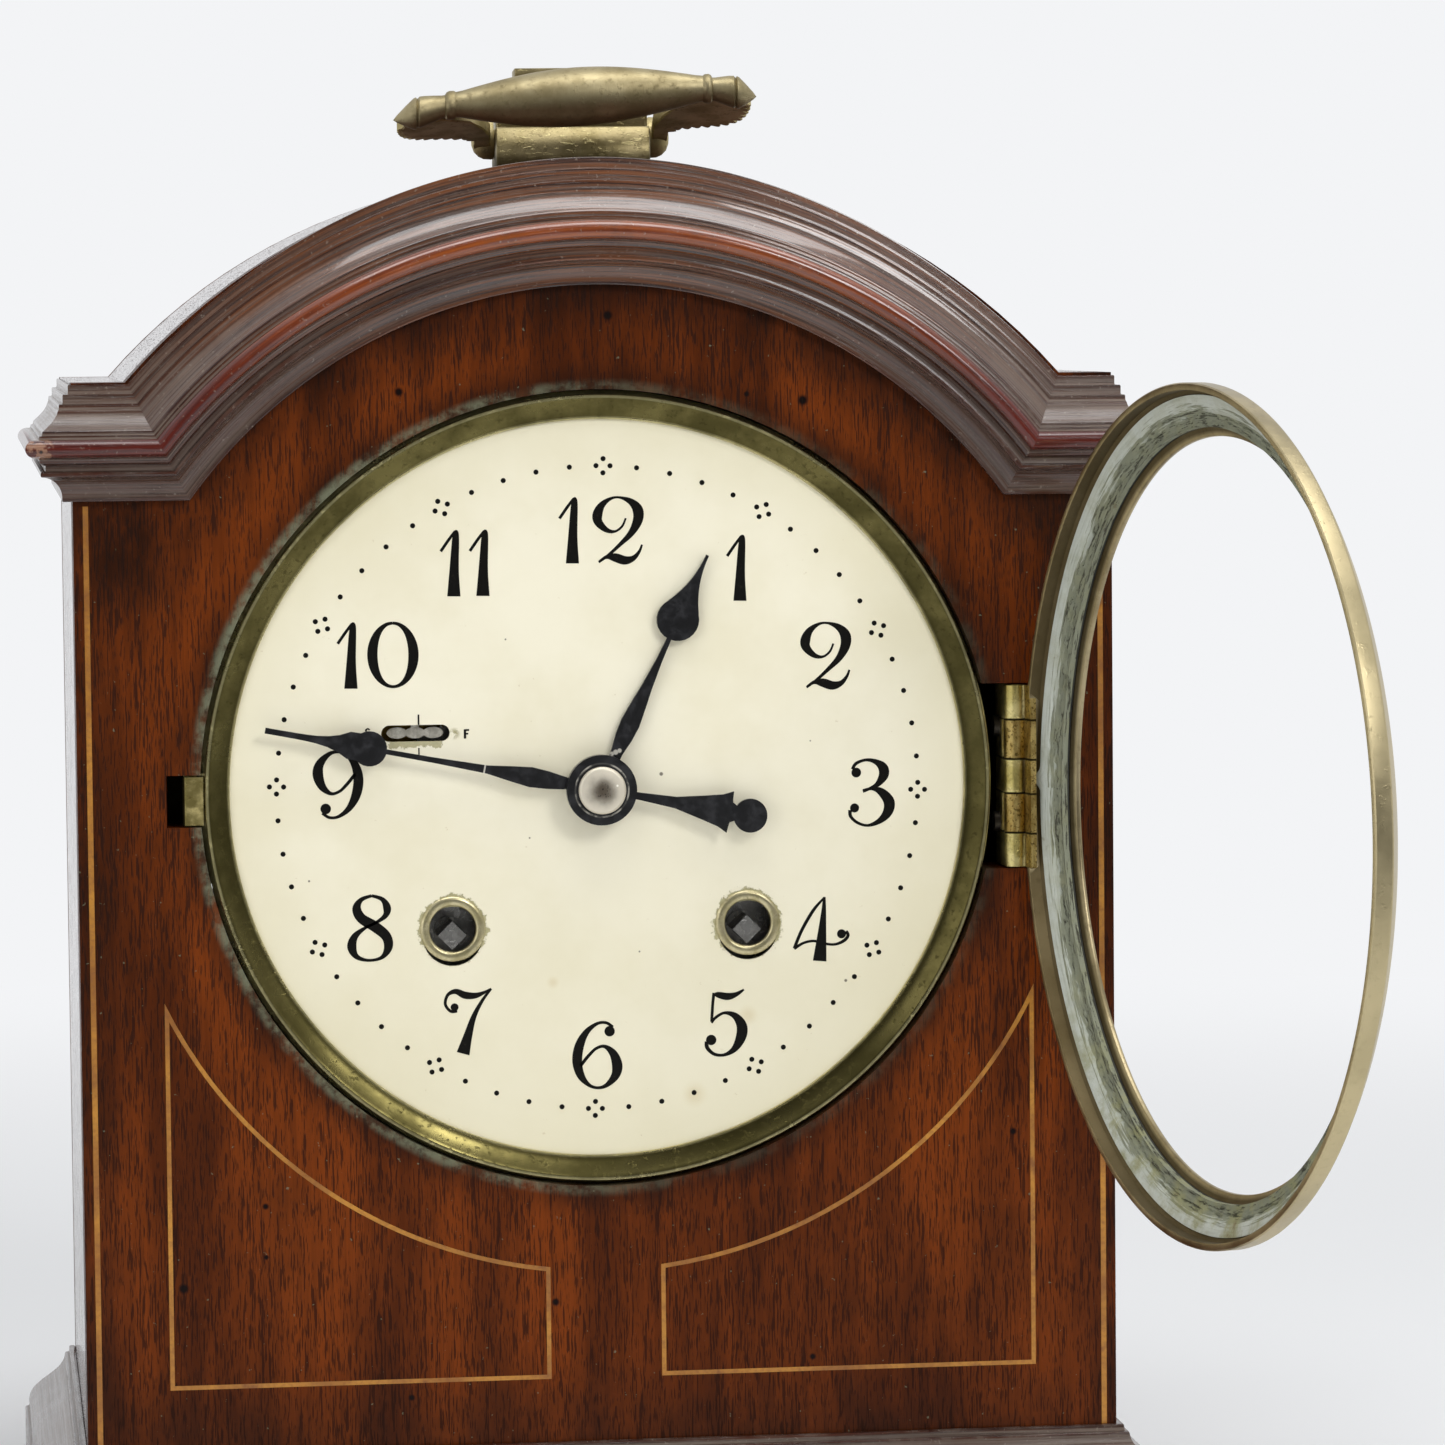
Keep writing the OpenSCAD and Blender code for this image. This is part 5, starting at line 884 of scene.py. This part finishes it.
def roof(outer, inner, steps):
    """The bezel's roof from its wall in to its lip, with a slight swell."""
    run = Vector(inner) - Vector(outer)
    out = Vector((run.y, -run.x)).normalized()
    return [Vector(outer) + run * t / steps + 0.4 * math.sin(math.pi * t / steps) * out
            for t in range(steps + 1)]


under = roof((skirt_r, rim_h - 1.5), (bezel_in + 1.2, bezel_d - 1.5), 16)
shell = [(skirt_r, 0.1), (skirt_r + 0.15, 0), (bezel_r - 0.25, 0), (bezel_r, 0.25), (bezel_r, rim_h - 0.7),
         (bezel_r - 0.08, rim_h - 0.4), (bezel_r - 0.25, rim_h - 0.15)]
shell += roof((bezel_r - 0.5, rim_h), (bezel_in + 1.2, bezel_d), 16)
shell += [(bezel_in + 0.65, 8.68), (bezel_in + 0.2, 8.5), (bezel_in, 8.15), (bezel_in, 7.85),
          (bezel_in + 0.1, 7.6), (bezel_in + 0.45, 7.4)] + under[::-1]
# The skirt's inner wall and the first point of the back edge: the bezel's finish paints them dark brown as
# painted shade.
inside = [1.0 if p[0] < bezel_r - 0.9 and 0.05 < p[1] < 7.3 and k > len(shell) - 18 or k == 0 else 0.0
          for k, p in enumerate(shell)]


def bezel_finish():
    """Spun brass, dull and brown with handling: painted lighter at the free side as painted light, and
    painted dark brown on the skirt's inner wall as painted shade.
    """
    material, tree, shader = new_finish("bezel brass", Metallic=1.0)
    here = put(tree, "ShaderNodeTexCoord").outputs["Object"]
    dirt_and_shade = put(tree, "ShaderNodeAttribute", attribute_name="wear_and_shade").outputs["Fac"]
    tone = cloud(tree, here, (16, 16, 16), 5, 0.6)
    spot = ease(tree, cloud(tree, here, (1.6, 1.6, 1.6), 4, 0.6), 0.55, 0.7)
    metal = blend(tree, ease(tree, tone, 0.36, 0.64), "8b7e60", "b0a280")
    metal = blend(tree, both(tree, spot, 0.3), metal, "675a3e")
    # Painted light: the free side of the open bezel is made lighter.
    painted_light_side = ease(tree, put(tree, "ShaderNodeSeparateXYZ", {0: here}).outputs["Y"], -0.15, -0.22, 0, 0.5)
    metal = blend(tree, painted_light_side, metal, "cfc198")
    # Painted shade: the skirt's inner wall is painted dark brown.
    metal = blend(tree, both(tree, dirt_and_shade, 0.8), metal, "4a3d24")
    tree.links.new(metal, shader.inputs["Base Color"])
    dull = put(tree, "ShaderNodeMath", {0: tone, 1: dirt_and_shade}, operation="ADD").outputs[0]
    tree.links.new(ease(tree, dull, 0.3, 1.0, 0.32, 0.55), shader.inputs["Roughness"])
    relief = put(tree, "ShaderNodeMath", {0: tone, 1: spot}, operation="ADD").outputs[0]
    tree.links.new(rise(tree, relief, 0.02), shader.inputs["Normal"])
    return material


bezel_brass = bezel_finish()
rim = skin("bezel_rim", turned_rows(shell, bezel_y, bezel_z, 288), bezel_brass, loop=True, wear_and_shade=inside)
bm = bmesh.new()
leaf_x = hinge_x - knuckle_r - 3.6
bmesh.ops.create_cube(bm, size=1, matrix=Matrix.Translation(
    Vector((leaf_x + 10, hinge_y - knuckle_r + 10, hinge_z)) * MM)
    @ Matrix.Diagonal((20 * MM, 20 * MM, 2 * hinge_half * MM, 1)))
cutter_mesh = bpy.data.meshes.new("hinge_room")
bm.to_mesh(cutter_mesh)
bm.free()
cutter = bpy.data.objects.new("hinge_room", cutter_mesh)
groove = bmesh.new()
bmesh.ops.create_cone(groove, cap_ends=True, segments=48, radius1=(knuckle_r + 0.3) * MM,
                      radius2=(knuckle_r + 0.3) * MM, depth=2 * hinge_half * MM,
                      matrix=Matrix.Translation(Vector((hinge_x, hinge_y, hinge_z)) * MM))
groove_mesh = bpy.data.meshes.new("hinge_groove")
groove.to_mesh(groove_mesh)
groove.free()
grooving = bpy.data.objects.new("hinge_groove", groove_mesh)
for tool in (cutter, grooving):
    bpy.context.scene.collection.objects.link(tool)
    cut = rim.modifiers.new("cut", "BOOLEAN")
    cut.operation, cut.solver, cut.object = "DIFFERENCE", "EXACT", tool
mesh = bpy.data.meshes.new_from_object(rim.evaluated_get(bpy.context.evaluated_depsgraph_get()))
for o in (rim, cutter, grooving):
    bpy.data.objects.remove(o)
for v in mesh.vertices:
    v.co = swung(v.co / MM) * MM
mesh.name = "bezel_rim"
rim = finished("bezel_rim", mesh, bezel_brass)
stand_for(rim, "bezel_door", "aged_brass", "bezel")


bed_steps = 28
seat = [p for p in under if seat_r + 1.2 < p[0] < seat_r + 6.4]
start = Vector((seat_r, seat_d - pane_t))
slope = Vector((seat[0][0], seat[0][1] - 0.3)) - start
bed = [start + slope * t / bed_steps for t in range(bed_steps + 1)]
face = [(seat_r, h) for h in (seat_d, seat_d - 0.35, seat_d - 0.5, seat_d - 1.0)]
bed += [p - Vector((0, 0.06)) for p in seat] + face
bed_place = [min(1.0, 0.16 + 0.84 * k / bed_steps) for k in range(len(bed) - len(face))]
# The first face points get 0, so the putty's finish paints the inner face near black as painted shade.
bed_place += [0.0, 0.0, 0.18, 0.3]


def crumble(r, h, a, k):
    """Putty smoothed by a thumb outside and torn out inside, with a crack and one drawn-out nib."""
    if k > bed_steps:
        return r, h
    t = k / bed_steps
    way = Vector((math.cos(a), math.sin(a), 0))
    broad = noise.noise(way * 14 + Vector((0, 0, t * 2)))
    mid = noise.noise(way * 45 + Vector((0, 0, t * 5)))
    fine = noise.noise(way * 170 + Vector((0, 0, t * 16)))
    torn = max(0.0, min(1.0, (0.6 - t + 0.18 * broad) * 4))
    crack_at = 0.36 + 0.12 * broad + 0.05 * mid
    crack = max(0.0, 1 - abs(t - crack_at) / 0.05) * max(0.0, min(1.0, 0.6 + 2 * mid))
    lift = (0.05 + 0.42 * torn) * (0.6 * mid + 0.6 * fine) + 0.75 * crack + 0.45 * torn
    nib = math.exp(-((a - 0.02) / 0.016) ** 2) * max(0.0, (t - 0.6) / 0.4)
    return r + 1.9 * nib, h + lift * min(1.0, 6 * t) * min(1.0, 6 * (1 - t)) - 0.9 * nib


def old_putty():
    """Linseed putty: chalky and matt where torn, smooth and pale where a thumb drew it; its inner face by the
    lip is painted near black as painted shade in the gap.
    """
    material, tree, shader = new_finish("old putty")
    here = put(tree, "ShaderNodeTexCoord").outputs["Object"]
    place = put(tree, "ShaderNodeAttribute", attribute_name="wear_and_shade").outputs["Fac"]
    up = put(tree, "ShaderNodeSeparateXYZ", {0: here}).outputs["Z"]
    soil = cloud(tree, here, (6, 6, 6), 5, 0.65)
    grit = cloud(tree, here, (0.7, 0.7, 0.7), 3, 0.6)
    run = put(tree, "ShaderNodeTexCoord").outputs["UV"]
    long = cloud(tree, run, (16, 1.1, 1), 4, 0.65)
    crack = ease(tree, cloud(tree, run, (7, 0.8, 1), 5, 0.75), 0.54, 0.6)
    ragged = put(tree, "ShaderNodeMath", {0: place, 1: ease(tree, long, 0.3, 0.7, -0.2, 0.2)},
                 operation="ADD").outputs[0]
    clean = ease(tree, ragged, 0.56, 0.74)
    tone = blend(tree, clean, "7d806d", "bfc4bb")
    tone = blend(tree, ease(tree, long, 0.5, 0.7, 0, 0.5), tone, "8f937f")
    green = both(tree, ease(tree, soil, 0.4, 0.65), ease(tree, up, 0.13, 0.1, 0.25, 0.8))
    tone = blend(tree, green, tone, "8d8c62")
    rust = spots(tree, here, [(118, -62, 2.4)], 0.2)
    tone = blend(tree, ease(tree, soil, 0.62, 0.75, 0, 0.7), tone, "6d5a38")
    broken = both(tree, crack, ease(tree, ragged, 0.62, 0.4, 0.06, 0.9))
    tone = blend(tree, broken, tone, "3c3a2c")
    tone = blend(tree, both(tree, rust, 0.8), tone, "a0682c")
    # Painted shade: near black on the inner face, by the lip.
    tone = blend(tree, ease(tree, place, 0.12, 0.04, 0, 0.93), tone, "14120d")
    tree.links.new(tone, shader.inputs["Base Color"])
    tree.links.new(ease(tree, clean, 0, 1, 0.8, 0.42), shader.inputs["Roughness"])
    relief = put(tree, "ShaderNodeMath", {0: both(tree, grit, 0.6), 1: broken},
                 operation="SUBTRACT").outputs[0]
    tree.links.new(rise(tree, relief, 0.2), shader.inputs["Normal"])
    return material


stand_for(skin("putty_bed", turned_rows(bed, bezel_y, bezel_z, 720, crumble, swung), old_putty(),
               loop=True, wear_and_shade=bed_place), "bezel_door", "putty", "glazing_putty")


def hinge_finish(name, light, dark, stain, lie, tarnish, shadow):
    """Hinge brass: soiled dark lines between the knuckles, and painted shade, near black, over the leaf to
    the left of shadow.
    """
    material, tree, shader = new_finish(name, Metallic=1.0)
    here = put(tree, "ShaderNodeTexCoord").outputs["Object"]
    axes = put(tree, "ShaderNodeSeparateXYZ", {0: here})
    tone = cloud(tree, here, lie, 4, 0.6)
    spot = ease(tree, cloud(tree, here, (0.7, 0.7, 0.7), 3, 0.6), 0.52, 0.62)
    metal = blend(tree, ease(tree, tone, 0.36, 0.64), dark, light)
    metal = blend(tree, both(tree, spot, tarnish), metal, stain)
    # Painted shade: the leaf is painted near black to the left of shadow.
    dirt_and_shade = ease(tree, axes.outputs["X"], shadow * MM, (shadow - 0.7) * MM)
    for z in knuckle_joints:
        gap = put(tree, "ShaderNodeMath", {0: axes.outputs["Z"], 1: z * MM}, operation="SUBTRACT").outputs[0]
        gap = put(tree, "ShaderNodeMath", {0: gap}, operation="ABSOLUTE").outputs[0]
        dirt_and_shade = either(tree, dirt_and_shade, ease(tree, gap, 0.34 * MM, 0.12 * MM))
    tree.links.new(blend(tree, both(tree, dirt_and_shade, 0.95), metal, "0d0a05"), shader.inputs["Base Color"])
    dull = put(tree, "ShaderNodeMath", {0: tone, 1: dirt_and_shade}, operation="ADD").outputs[0]
    tree.links.new(ease(tree, dull, 0.3, 1.2, 0.3, 0.7), shader.inputs["Roughness"])
    relief = put(tree, "ShaderNodeMath", {0: tone, 1: spot}, operation="ADD").outputs[0]
    tree.links.new(rise(tree, relief, 0.03), shader.inputs["Normal"])
    return material


knuckle_joints = [hinge_z + d for d in (-11.75, -3.55, 3.55, 11.75)]
finish_node("hinge_case_leaf", hinge_finish("case leaf brass", "e2d494", "c0b06a", "7a6a38", (4, 4, 4), 0.3,
                                            83.9))
finish_node("hinge_bezel_leaf", hinge_finish("bezel leaf brass", "c8b070", "a0864a", "584520", (1.5, 1.5, 4),
                                             0.8, 80.0))
finish_node("hinge_pins", old_metal("pin brass", "cfc07c", "a99a56", "7a6a38", 0.3, 0.4, (4, 4, 4)))

# Catch
# A bent brass tongue screwed in the panel's notch springs against the bezel's edge to hold it shut.


def catch_finish():
    """Sheet brass with a dull polish, painted near black where it runs back into the notch: painted shade
    there, with soil.
    """
    material, tree, shader = new_finish("catch brass", Metallic=1.0)
    here = put(tree, "ShaderNodeTexCoord").outputs["Object"]
    tone = cloud(tree, here, (3, 3, 3), 4, 0.6)
    spot = ease(tree, cloud(tree, here, (0.9, 0.9, 0.9), 3, 0.6), 0.55, 0.68)
    metal = blend(tree, ease(tree, tone, 0.36, 0.64), "a6975c", "cfbf83")
    metal = blend(tree, both(tree, spot, 0.5), metal, "6f6032")
    # Painted shade with soil: near black back in the notch.
    notch_shade_and_soil = ease(tree, put(tree, "ShaderNodeSeparateXYZ", {0: here}).outputs["X"], -85.0 * MM, -85.4 * MM)
    tree.links.new(blend(tree, both(tree, notch_shade_and_soil, 0.97), metal, "070503"), shader.inputs["Base Color"])
    dull = put(tree, "ShaderNodeMath", {0: tone, 1: notch_shade_and_soil}, operation="ADD").outputs[0]
    tree.links.new(ease(tree, dull, 0.3, 1.2, 0.3, 0.9), shader.inputs["Roughness"])
    relief = put(tree, "ShaderNodeMath", {0: tone, 1: spot}, operation="ADD").outputs[0]
    tree.links.new(rise(tree, relief, 0.02), shader.inputs["Normal"])
    return material


finish_node("catch_tongue", catch_finish())

# Handle
# A cast brass bail swings on a block screwed to the crown, and the whole has turned a little on its
# screw. The grip swells between two collars; flat arms with scalloped edges spread from domed bosses.
block_w, block_d, block_h, cap_w, cap_d, cap_t, cap_h = 16.3, 20, 9.3, 12, 10, 2.2, 22.0
handle_x, turn = 2.0, math.radians(3.6)
pivot_z, reach, tilt, cant = 300.27, 32.0, math.radians(13.3), math.radians(3.4)


def on_handle(x, y, z):
    """A point of the handle's own drawing, turned on its screw."""
    across = handle_x + x * math.cos(turn) + y * math.sin(turn)
    return Vector((across, y * math.cos(turn) - x * math.sin(turn), z))


def on_bail(x, y, z):
    """A point of the bail's own drawing, laid forward from its pivot and a little lower at its left."""
    z += x * math.sin(cant) * abs(y) / reach
    forward = y * math.cos(tilt) + z * math.sin(tilt)
    return on_handle(x, forward, pivot_z - y * math.sin(tilt) + z * math.cos(tilt))


def block_finish():
    """Cast brass left as filed: small bright flecks, worn spots that also serve as painted glints, and
    painted shade along its foot.
    """
    material, tree, shader = new_finish("block brass", Metallic=1.0)
    here = put(tree, "ShaderNodeTexCoord").outputs["Object"]
    up = put(tree, "ShaderNodeSeparateXYZ", {0: here}).outputs["Z"]
    tone = cloud(tree, here, (9, 9, 9), 5, 0.62)
    spot = ease(tree, cloud(tree, here, (1.5, 1.5, 1.5), 4, 0.6), 0.54, 0.7)
    fleck = ease(tree, cloud(tree, here, (2.4, 2.4, 0.7), 3, 0.6), 0.58, 0.64)
    metal = blend(tree, ease(tree, tone, 0.36, 0.64), "807450", "a0936e")
    metal = blend(tree, both(tree, spot, 0.3), metal, "5e5238")
    # Bright flecks: worn spots, and painted glints.
    metal = blend(tree, both(tree, fleck, 0.4), metal, "ded09a")
    # Painted shade: the block is darkened along its foot.
    grime_and_shade = ease(tree, put(tree, "ShaderNodeMath", {0: up, 1: both(tree, tone, 0.003)},
                           operation="ADD").outputs[0],
                 (crown_z + 6.2) * MM, (crown_z + 3.5) * MM, 0, 0.75)
    tree.links.new(blend(tree, grime_and_shade, metal, "40361f"), shader.inputs["Base Color"])
    dull = put(tree, "ShaderNodeMath", {0: tone, 1: grime_and_shade}, operation="ADD").outputs[0]
    tree.links.new(ease(tree, dull, 0.3, 1.2, 0.4, 0.62), shader.inputs["Roughness"])
    relief = put(tree, "ShaderNodeMath", {0: fleck, 1: spot}, operation="ADD").outputs[0]
    tree.links.new(rise(tree, relief, 0.03), shader.inputs["Normal"])
    return material


def bar(name, outline, reach_x, material, ease_in=0.35):
    """A block whose (y, z) outline runs along X, with its two ends eased over."""
    mid = Vector((sum(p[0] for p in outline) / len(outline), sum(p[1] for p in outline) / len(outline)))
    rows = []
    for x, tight in ((-1, 1), (-1, 0.35), (-1, 0), (1, 0), (1, 0.35), (1, 1)):
        inset = ease_in * tight
        along_x = x * (reach_x - (0 if tight == 1 else ease_in * (0.3 if tight else 1)))
        row = []
        for y, z in outline:
            off = Vector((y, z)) - mid
            p = mid + off * (1 - inset / max(off.length, 1))
            row.append(on_handle(along_x, p.x, crown_z + p.y))
        rows.append(row)
    return skin(name, rows, material)


half = [(block_d - 1, -3), (block_d - 1, 0.8)]
half += [(block_d - 2.5 * (1.4 * t / 14 - 0.4) ** 2, 0.8 + (block_h - 0.8) * t / 14) for t in range(15)]
outline = soften(half + [(-y, z) for y, z in reversed(half)], 0.4)
neck = []
for drawn_in, z in [(0, block_h - 1)] + bow((0, cap_h - cap_t), 1, 7.5, 270, 180, 14):
    x, y = block_w - 0.4 + 4.4 * drawn_in, cap_d + 6 + 7.5 * drawn_in
    half_side = [(x - 0.6, -y), (x, 0.6 - y), (x, y - 0.6), (x - 0.6, y)]
    corners = half_side + [(-cx, -cy) for cx, cy in half_side]
    neck.append([on_handle(cx, cy, crown_z + z) for cx, cy in corners])
lid = soften([(cap_d, cap_h - cap_t), (cap_d, cap_h), (-cap_d, cap_h), (-cap_d, cap_h - cap_t)], 0.5)
block_brass = block_finish()
stand_for(bar("handle_base", outline, block_w, block_brass), "case", "aged_brass", "handle_block")
stand_for(skin("handle_neck", neck, block_brass), "case", "aged_brass")
stand_for(bar("handle_cap", lid, cap_w, block_brass), "case", "aged_brass")

grip = [(0.0, -38.3), (0.8, -37.6), (2.2, -36), (3.3, -34.6), (3.4, -34.2), (3.0, -33.9), (3.35, -33.5),
        (3.2, -32.6), (2.8, -31), (2.45, -29.6), (2.4, -29.0), (2.9, -28.7), (3.1, -28.2), (3.0, -27.4),
        (2.7, -27)]
ends = len(grip)
grip += [(2.6 + 3.6 * math.cos(math.radians(90 * x / 27)), x) for x in [1.5 * i for i in range(-17, 18)]]
grip += [(r, -x) for r, x in reversed(grip[:ends])]
rows = []
for a in [math.tau * i / 64 for i in range(64)]:
    row = []
    for r, x in grip:
        droop = 0.4 - 2.4 * max(0, (abs(x) - 27) / 11) ** 1.4
        if x < 0:
            x = x * 25 / 27 if x > -27 else -25 + (x + 27) * 13.3 / 11.3
        row.append(on_bail(x * math.cos(cant), -reach + r * math.cos(a), r * math.sin(a) + droop))
    rows.append(row)
stand_for(skin("bail_grip", rows, old_metal("grip brass", "a69a78", "8c805f", "5e5238", 0.44, 0.3, (9, 9, 9)),
               ring=False, loop=True), "bail", "aged_brass", "bail_handle")

back_edge = [(20.6, -8.5), (21.6, -10.8), (26, -11.8), (30, -12.9), (33.2, -15.2), (35.2, -19), (36, -24),
             (36, -28.5)]
scallops = []
gone = 0.0
for a, b in zip(back_edge, back_edge[1:]):
    a, b = Vector(a), Vector(b)
    way = (b - a).normalized()
    steps = max(4, round((b - a).length / 0.24))
    for k in range(steps):
        wave = 1.4 * abs(math.sin(math.pi * (gone + (b - a).length * k / steps) / 2.2))
        scallops.append(a + (b - a) * k / steps + wave * Vector((-way.y, way.x)))
    gone += (b - a).length
web = [(17.4, -13), (17.4, 0), (20.6, 0)] + [tuple(p) for p in scallops]
web += [(36, -30), (28, -30.6), (22, -27), (19, -20)]
middle = Vector((27, -20))
arm_brass = old_metal("arm brass", "d0c296", "ab9d70", "5e5238", 0.5, 0.5, (6, 6, 6))
for side, name in ((-1, "left"), (1, "right")):
    rows = []
    for z, inset in ((-1.5, 0.35), (-1.2, 0), (1.2, 0), (1.5, 0.35)):
        row = []
        for p in web:
            off = Vector(p) - middle
            x, y = Vector(p) - off.normalized() * inset
            row.append(on_bail(side * x, y, z - 1.2 * max(0,
                                                          (x - 27) / 11) ** 1.4 - (1.0 if side < 0 else 0)))
        rows.append(row)
    stand_for(skin("bail_arm_" + name, rows, arm_brass), "bail", "aged_brass")
    dome = [(0, 16.4), (4.2, 16.4), (4.4, 17.0), (4.3, 18.6), (3.8, 19.7), (2.8, 20.7), (1.4, 21.2),
            (0, 21.3)]
    rows = [[on_bail(side * x, r * math.cos(a), r * math.sin(a)) for r, x in dome]
            for a in [math.tau * i / 48 for i in range(48)]]
    stand_for(skin("bail_boss_" + name, rows, arm_brass, ring=False, loop=True), "bail", "aged_brass")

# Back door
# A plain framed mahogany door closes the back, hung on two brass butts and pulled by a turned knob.
finish_node("back_door", mahogany("door mahogany", "Z", "70401f", "4d2814", 0.4))
door_brass = old_metal("door brass", "a48f55", "7c6a3a", "52431f", 0.3, 0.5, (5, 5, 5))
for name in ("door_case_leaves", "door_leaves", "door_knob"):
    finish_node(name, door_brass)

# Studio
# A pale floor runs into an equally pale backdrop; one broad lamp hangs above, a key stands to the
# right of the camera and a weak fill to its left. A long lens looks slightly down from the left.
floor_mesh = bpy.data.meshes.new("floor")
floor_mesh.from_pydata([(-8, -8, 0), (8, -8, 0), (8, 8, 0), (-8, 8, 0)], [], [(0, 1, 2, 3)])
floor = bpy.data.objects.new("floor", floor_mesh)
bpy.context.scene.collection.objects.link(floor)
floor_finish, tree, shader = new_finish("floor white", Base_Color=colour("f1f2f3"), Roughness=0.8)
here = put(tree, "ShaderNodeTexCoord").outputs["Object"]
far = ease(tree, put(tree, "ShaderNodeVectorMath", {0: here}, operation="LENGTH").outputs["Value"], 0.25, 1.1)
ray = put(tree, "ShaderNodeLightPath")
seen = either(tree, ray.outputs["Is Camera Ray"], ray.outputs["Is Transmission Ray"])
seen = either(tree, seen, ray.outputs["Is Glossy Ray"])
behind = ease(tree, put(tree, "ShaderNodeSeparateXYZ", {0: here}).outputs["Y"], -1.0, -0.2, 0.12, 1.0)
bright = either(tree, behind, ray.outputs["Is Camera Ray"])
glow = put(tree, "ShaderNodeEmission", {"Color": colour("f3f4f6"), "Strength": bright}).outputs[0]
mixed = put(tree, "ShaderNodeMixShader", {0: both(tree, far, seen), 1: shader.outputs[0], 2: glow})
tree.links.new(mixed.outputs[0], tree.nodes["Material Output"].inputs["Surface"])
floor_mesh.materials.append(floor_finish)

world = bpy.data.worlds.new("studio")
world.use_nodes = True
bpy.context.scene.world = world
sky = world.node_tree
ray = put(sky, "ShaderNodeLightPath")
seen = either(sky, ray.outputs["Is Camera Ray"], ray.outputs["Is Transmission Ray"])
way = put(sky, "ShaderNodeTexCoord").outputs["Generated"]
behind = ease(sky, put(sky, "ShaderNodeSeparateXYZ", {0: way}).outputs["Y"], -0.85, -0.1, 0.12, 1.0)
mirrored = both(sky, behind, ray.outputs["Is Glossy Ray"])
seen = either(sky, seen, mirrored)
not_mirrored = put(sky, "ShaderNodeMath", {0: 1.0, 1: ray.outputs["Is Glossy Ray"]},
                   operation="SUBTRACT").outputs[0]
plain = both(sky, 0.55, not_mirrored)
sky.nodes["Background"].inputs["Color"].default_value = colour("f3f4f6")
sky.links.new(either(sky, seen, plain), sky.nodes["Background"].inputs["Strength"])


def softbox(name, at, aim, size, watts):
    """A rectangular lamp at a place, aimed at a point; all in metres."""
    lamp = bpy.data.lights.new(name, "AREA")
    lamp.shape = "RECTANGLE"
    lamp.size, lamp.size_y = size
    lamp.energy = watts
    o = bpy.data.objects.new(name, lamp)
    o.location = at
    o.rotation_euler = (Vector(aim) - Vector(at)).to_track_quat("-Z", "Y").to_euler()
    bpy.context.scene.collection.objects.link(o)


softbox("top", (0.1, -0.3, 1.3), (0, 0, 0.15), (1.2, 0.5), 8.2)
softbox("key", (0.7, -1.3, 1.0), (0, 0, 0.17), (0.5, 0.5), 8.2)
softbox("fill", (-1.2, -1.2, 0.5), (0, 0, 0.17), (0.9, 0.9), 3.6)

camera = bpy.data.cameras.new("camera")
camera.sensor_width = 36
camera.lens = 6100 / 1445 * 36
camera.clip_end = 30
yaw, pitch, roll = 0.1243, 0.0669, -0.0095
view = Vector((math.sin(yaw) * math.cos(pitch), math.cos(yaw) * math.cos(pitch), -math.sin(pitch)))
level = Vector((math.cos(yaw), -math.sin(yaw), 0))
upright = level.cross(view)
right = math.cos(roll) * level + math.sin(roll) * upright
up = math.cos(roll) * upright - math.sin(roll) * level
eye = bpy.data.objects.new("camera", camera)
eye.matrix_world = Matrix((right, up, -view)).transposed().to_4x4()
eye.location = (-0.13003, -1.3122, 0.26228)
bpy.context.scene.collection.objects.link(eye)
bpy.context.scene.camera = eye
bpy.context.scene.view_settings.view_transform = "Standard"
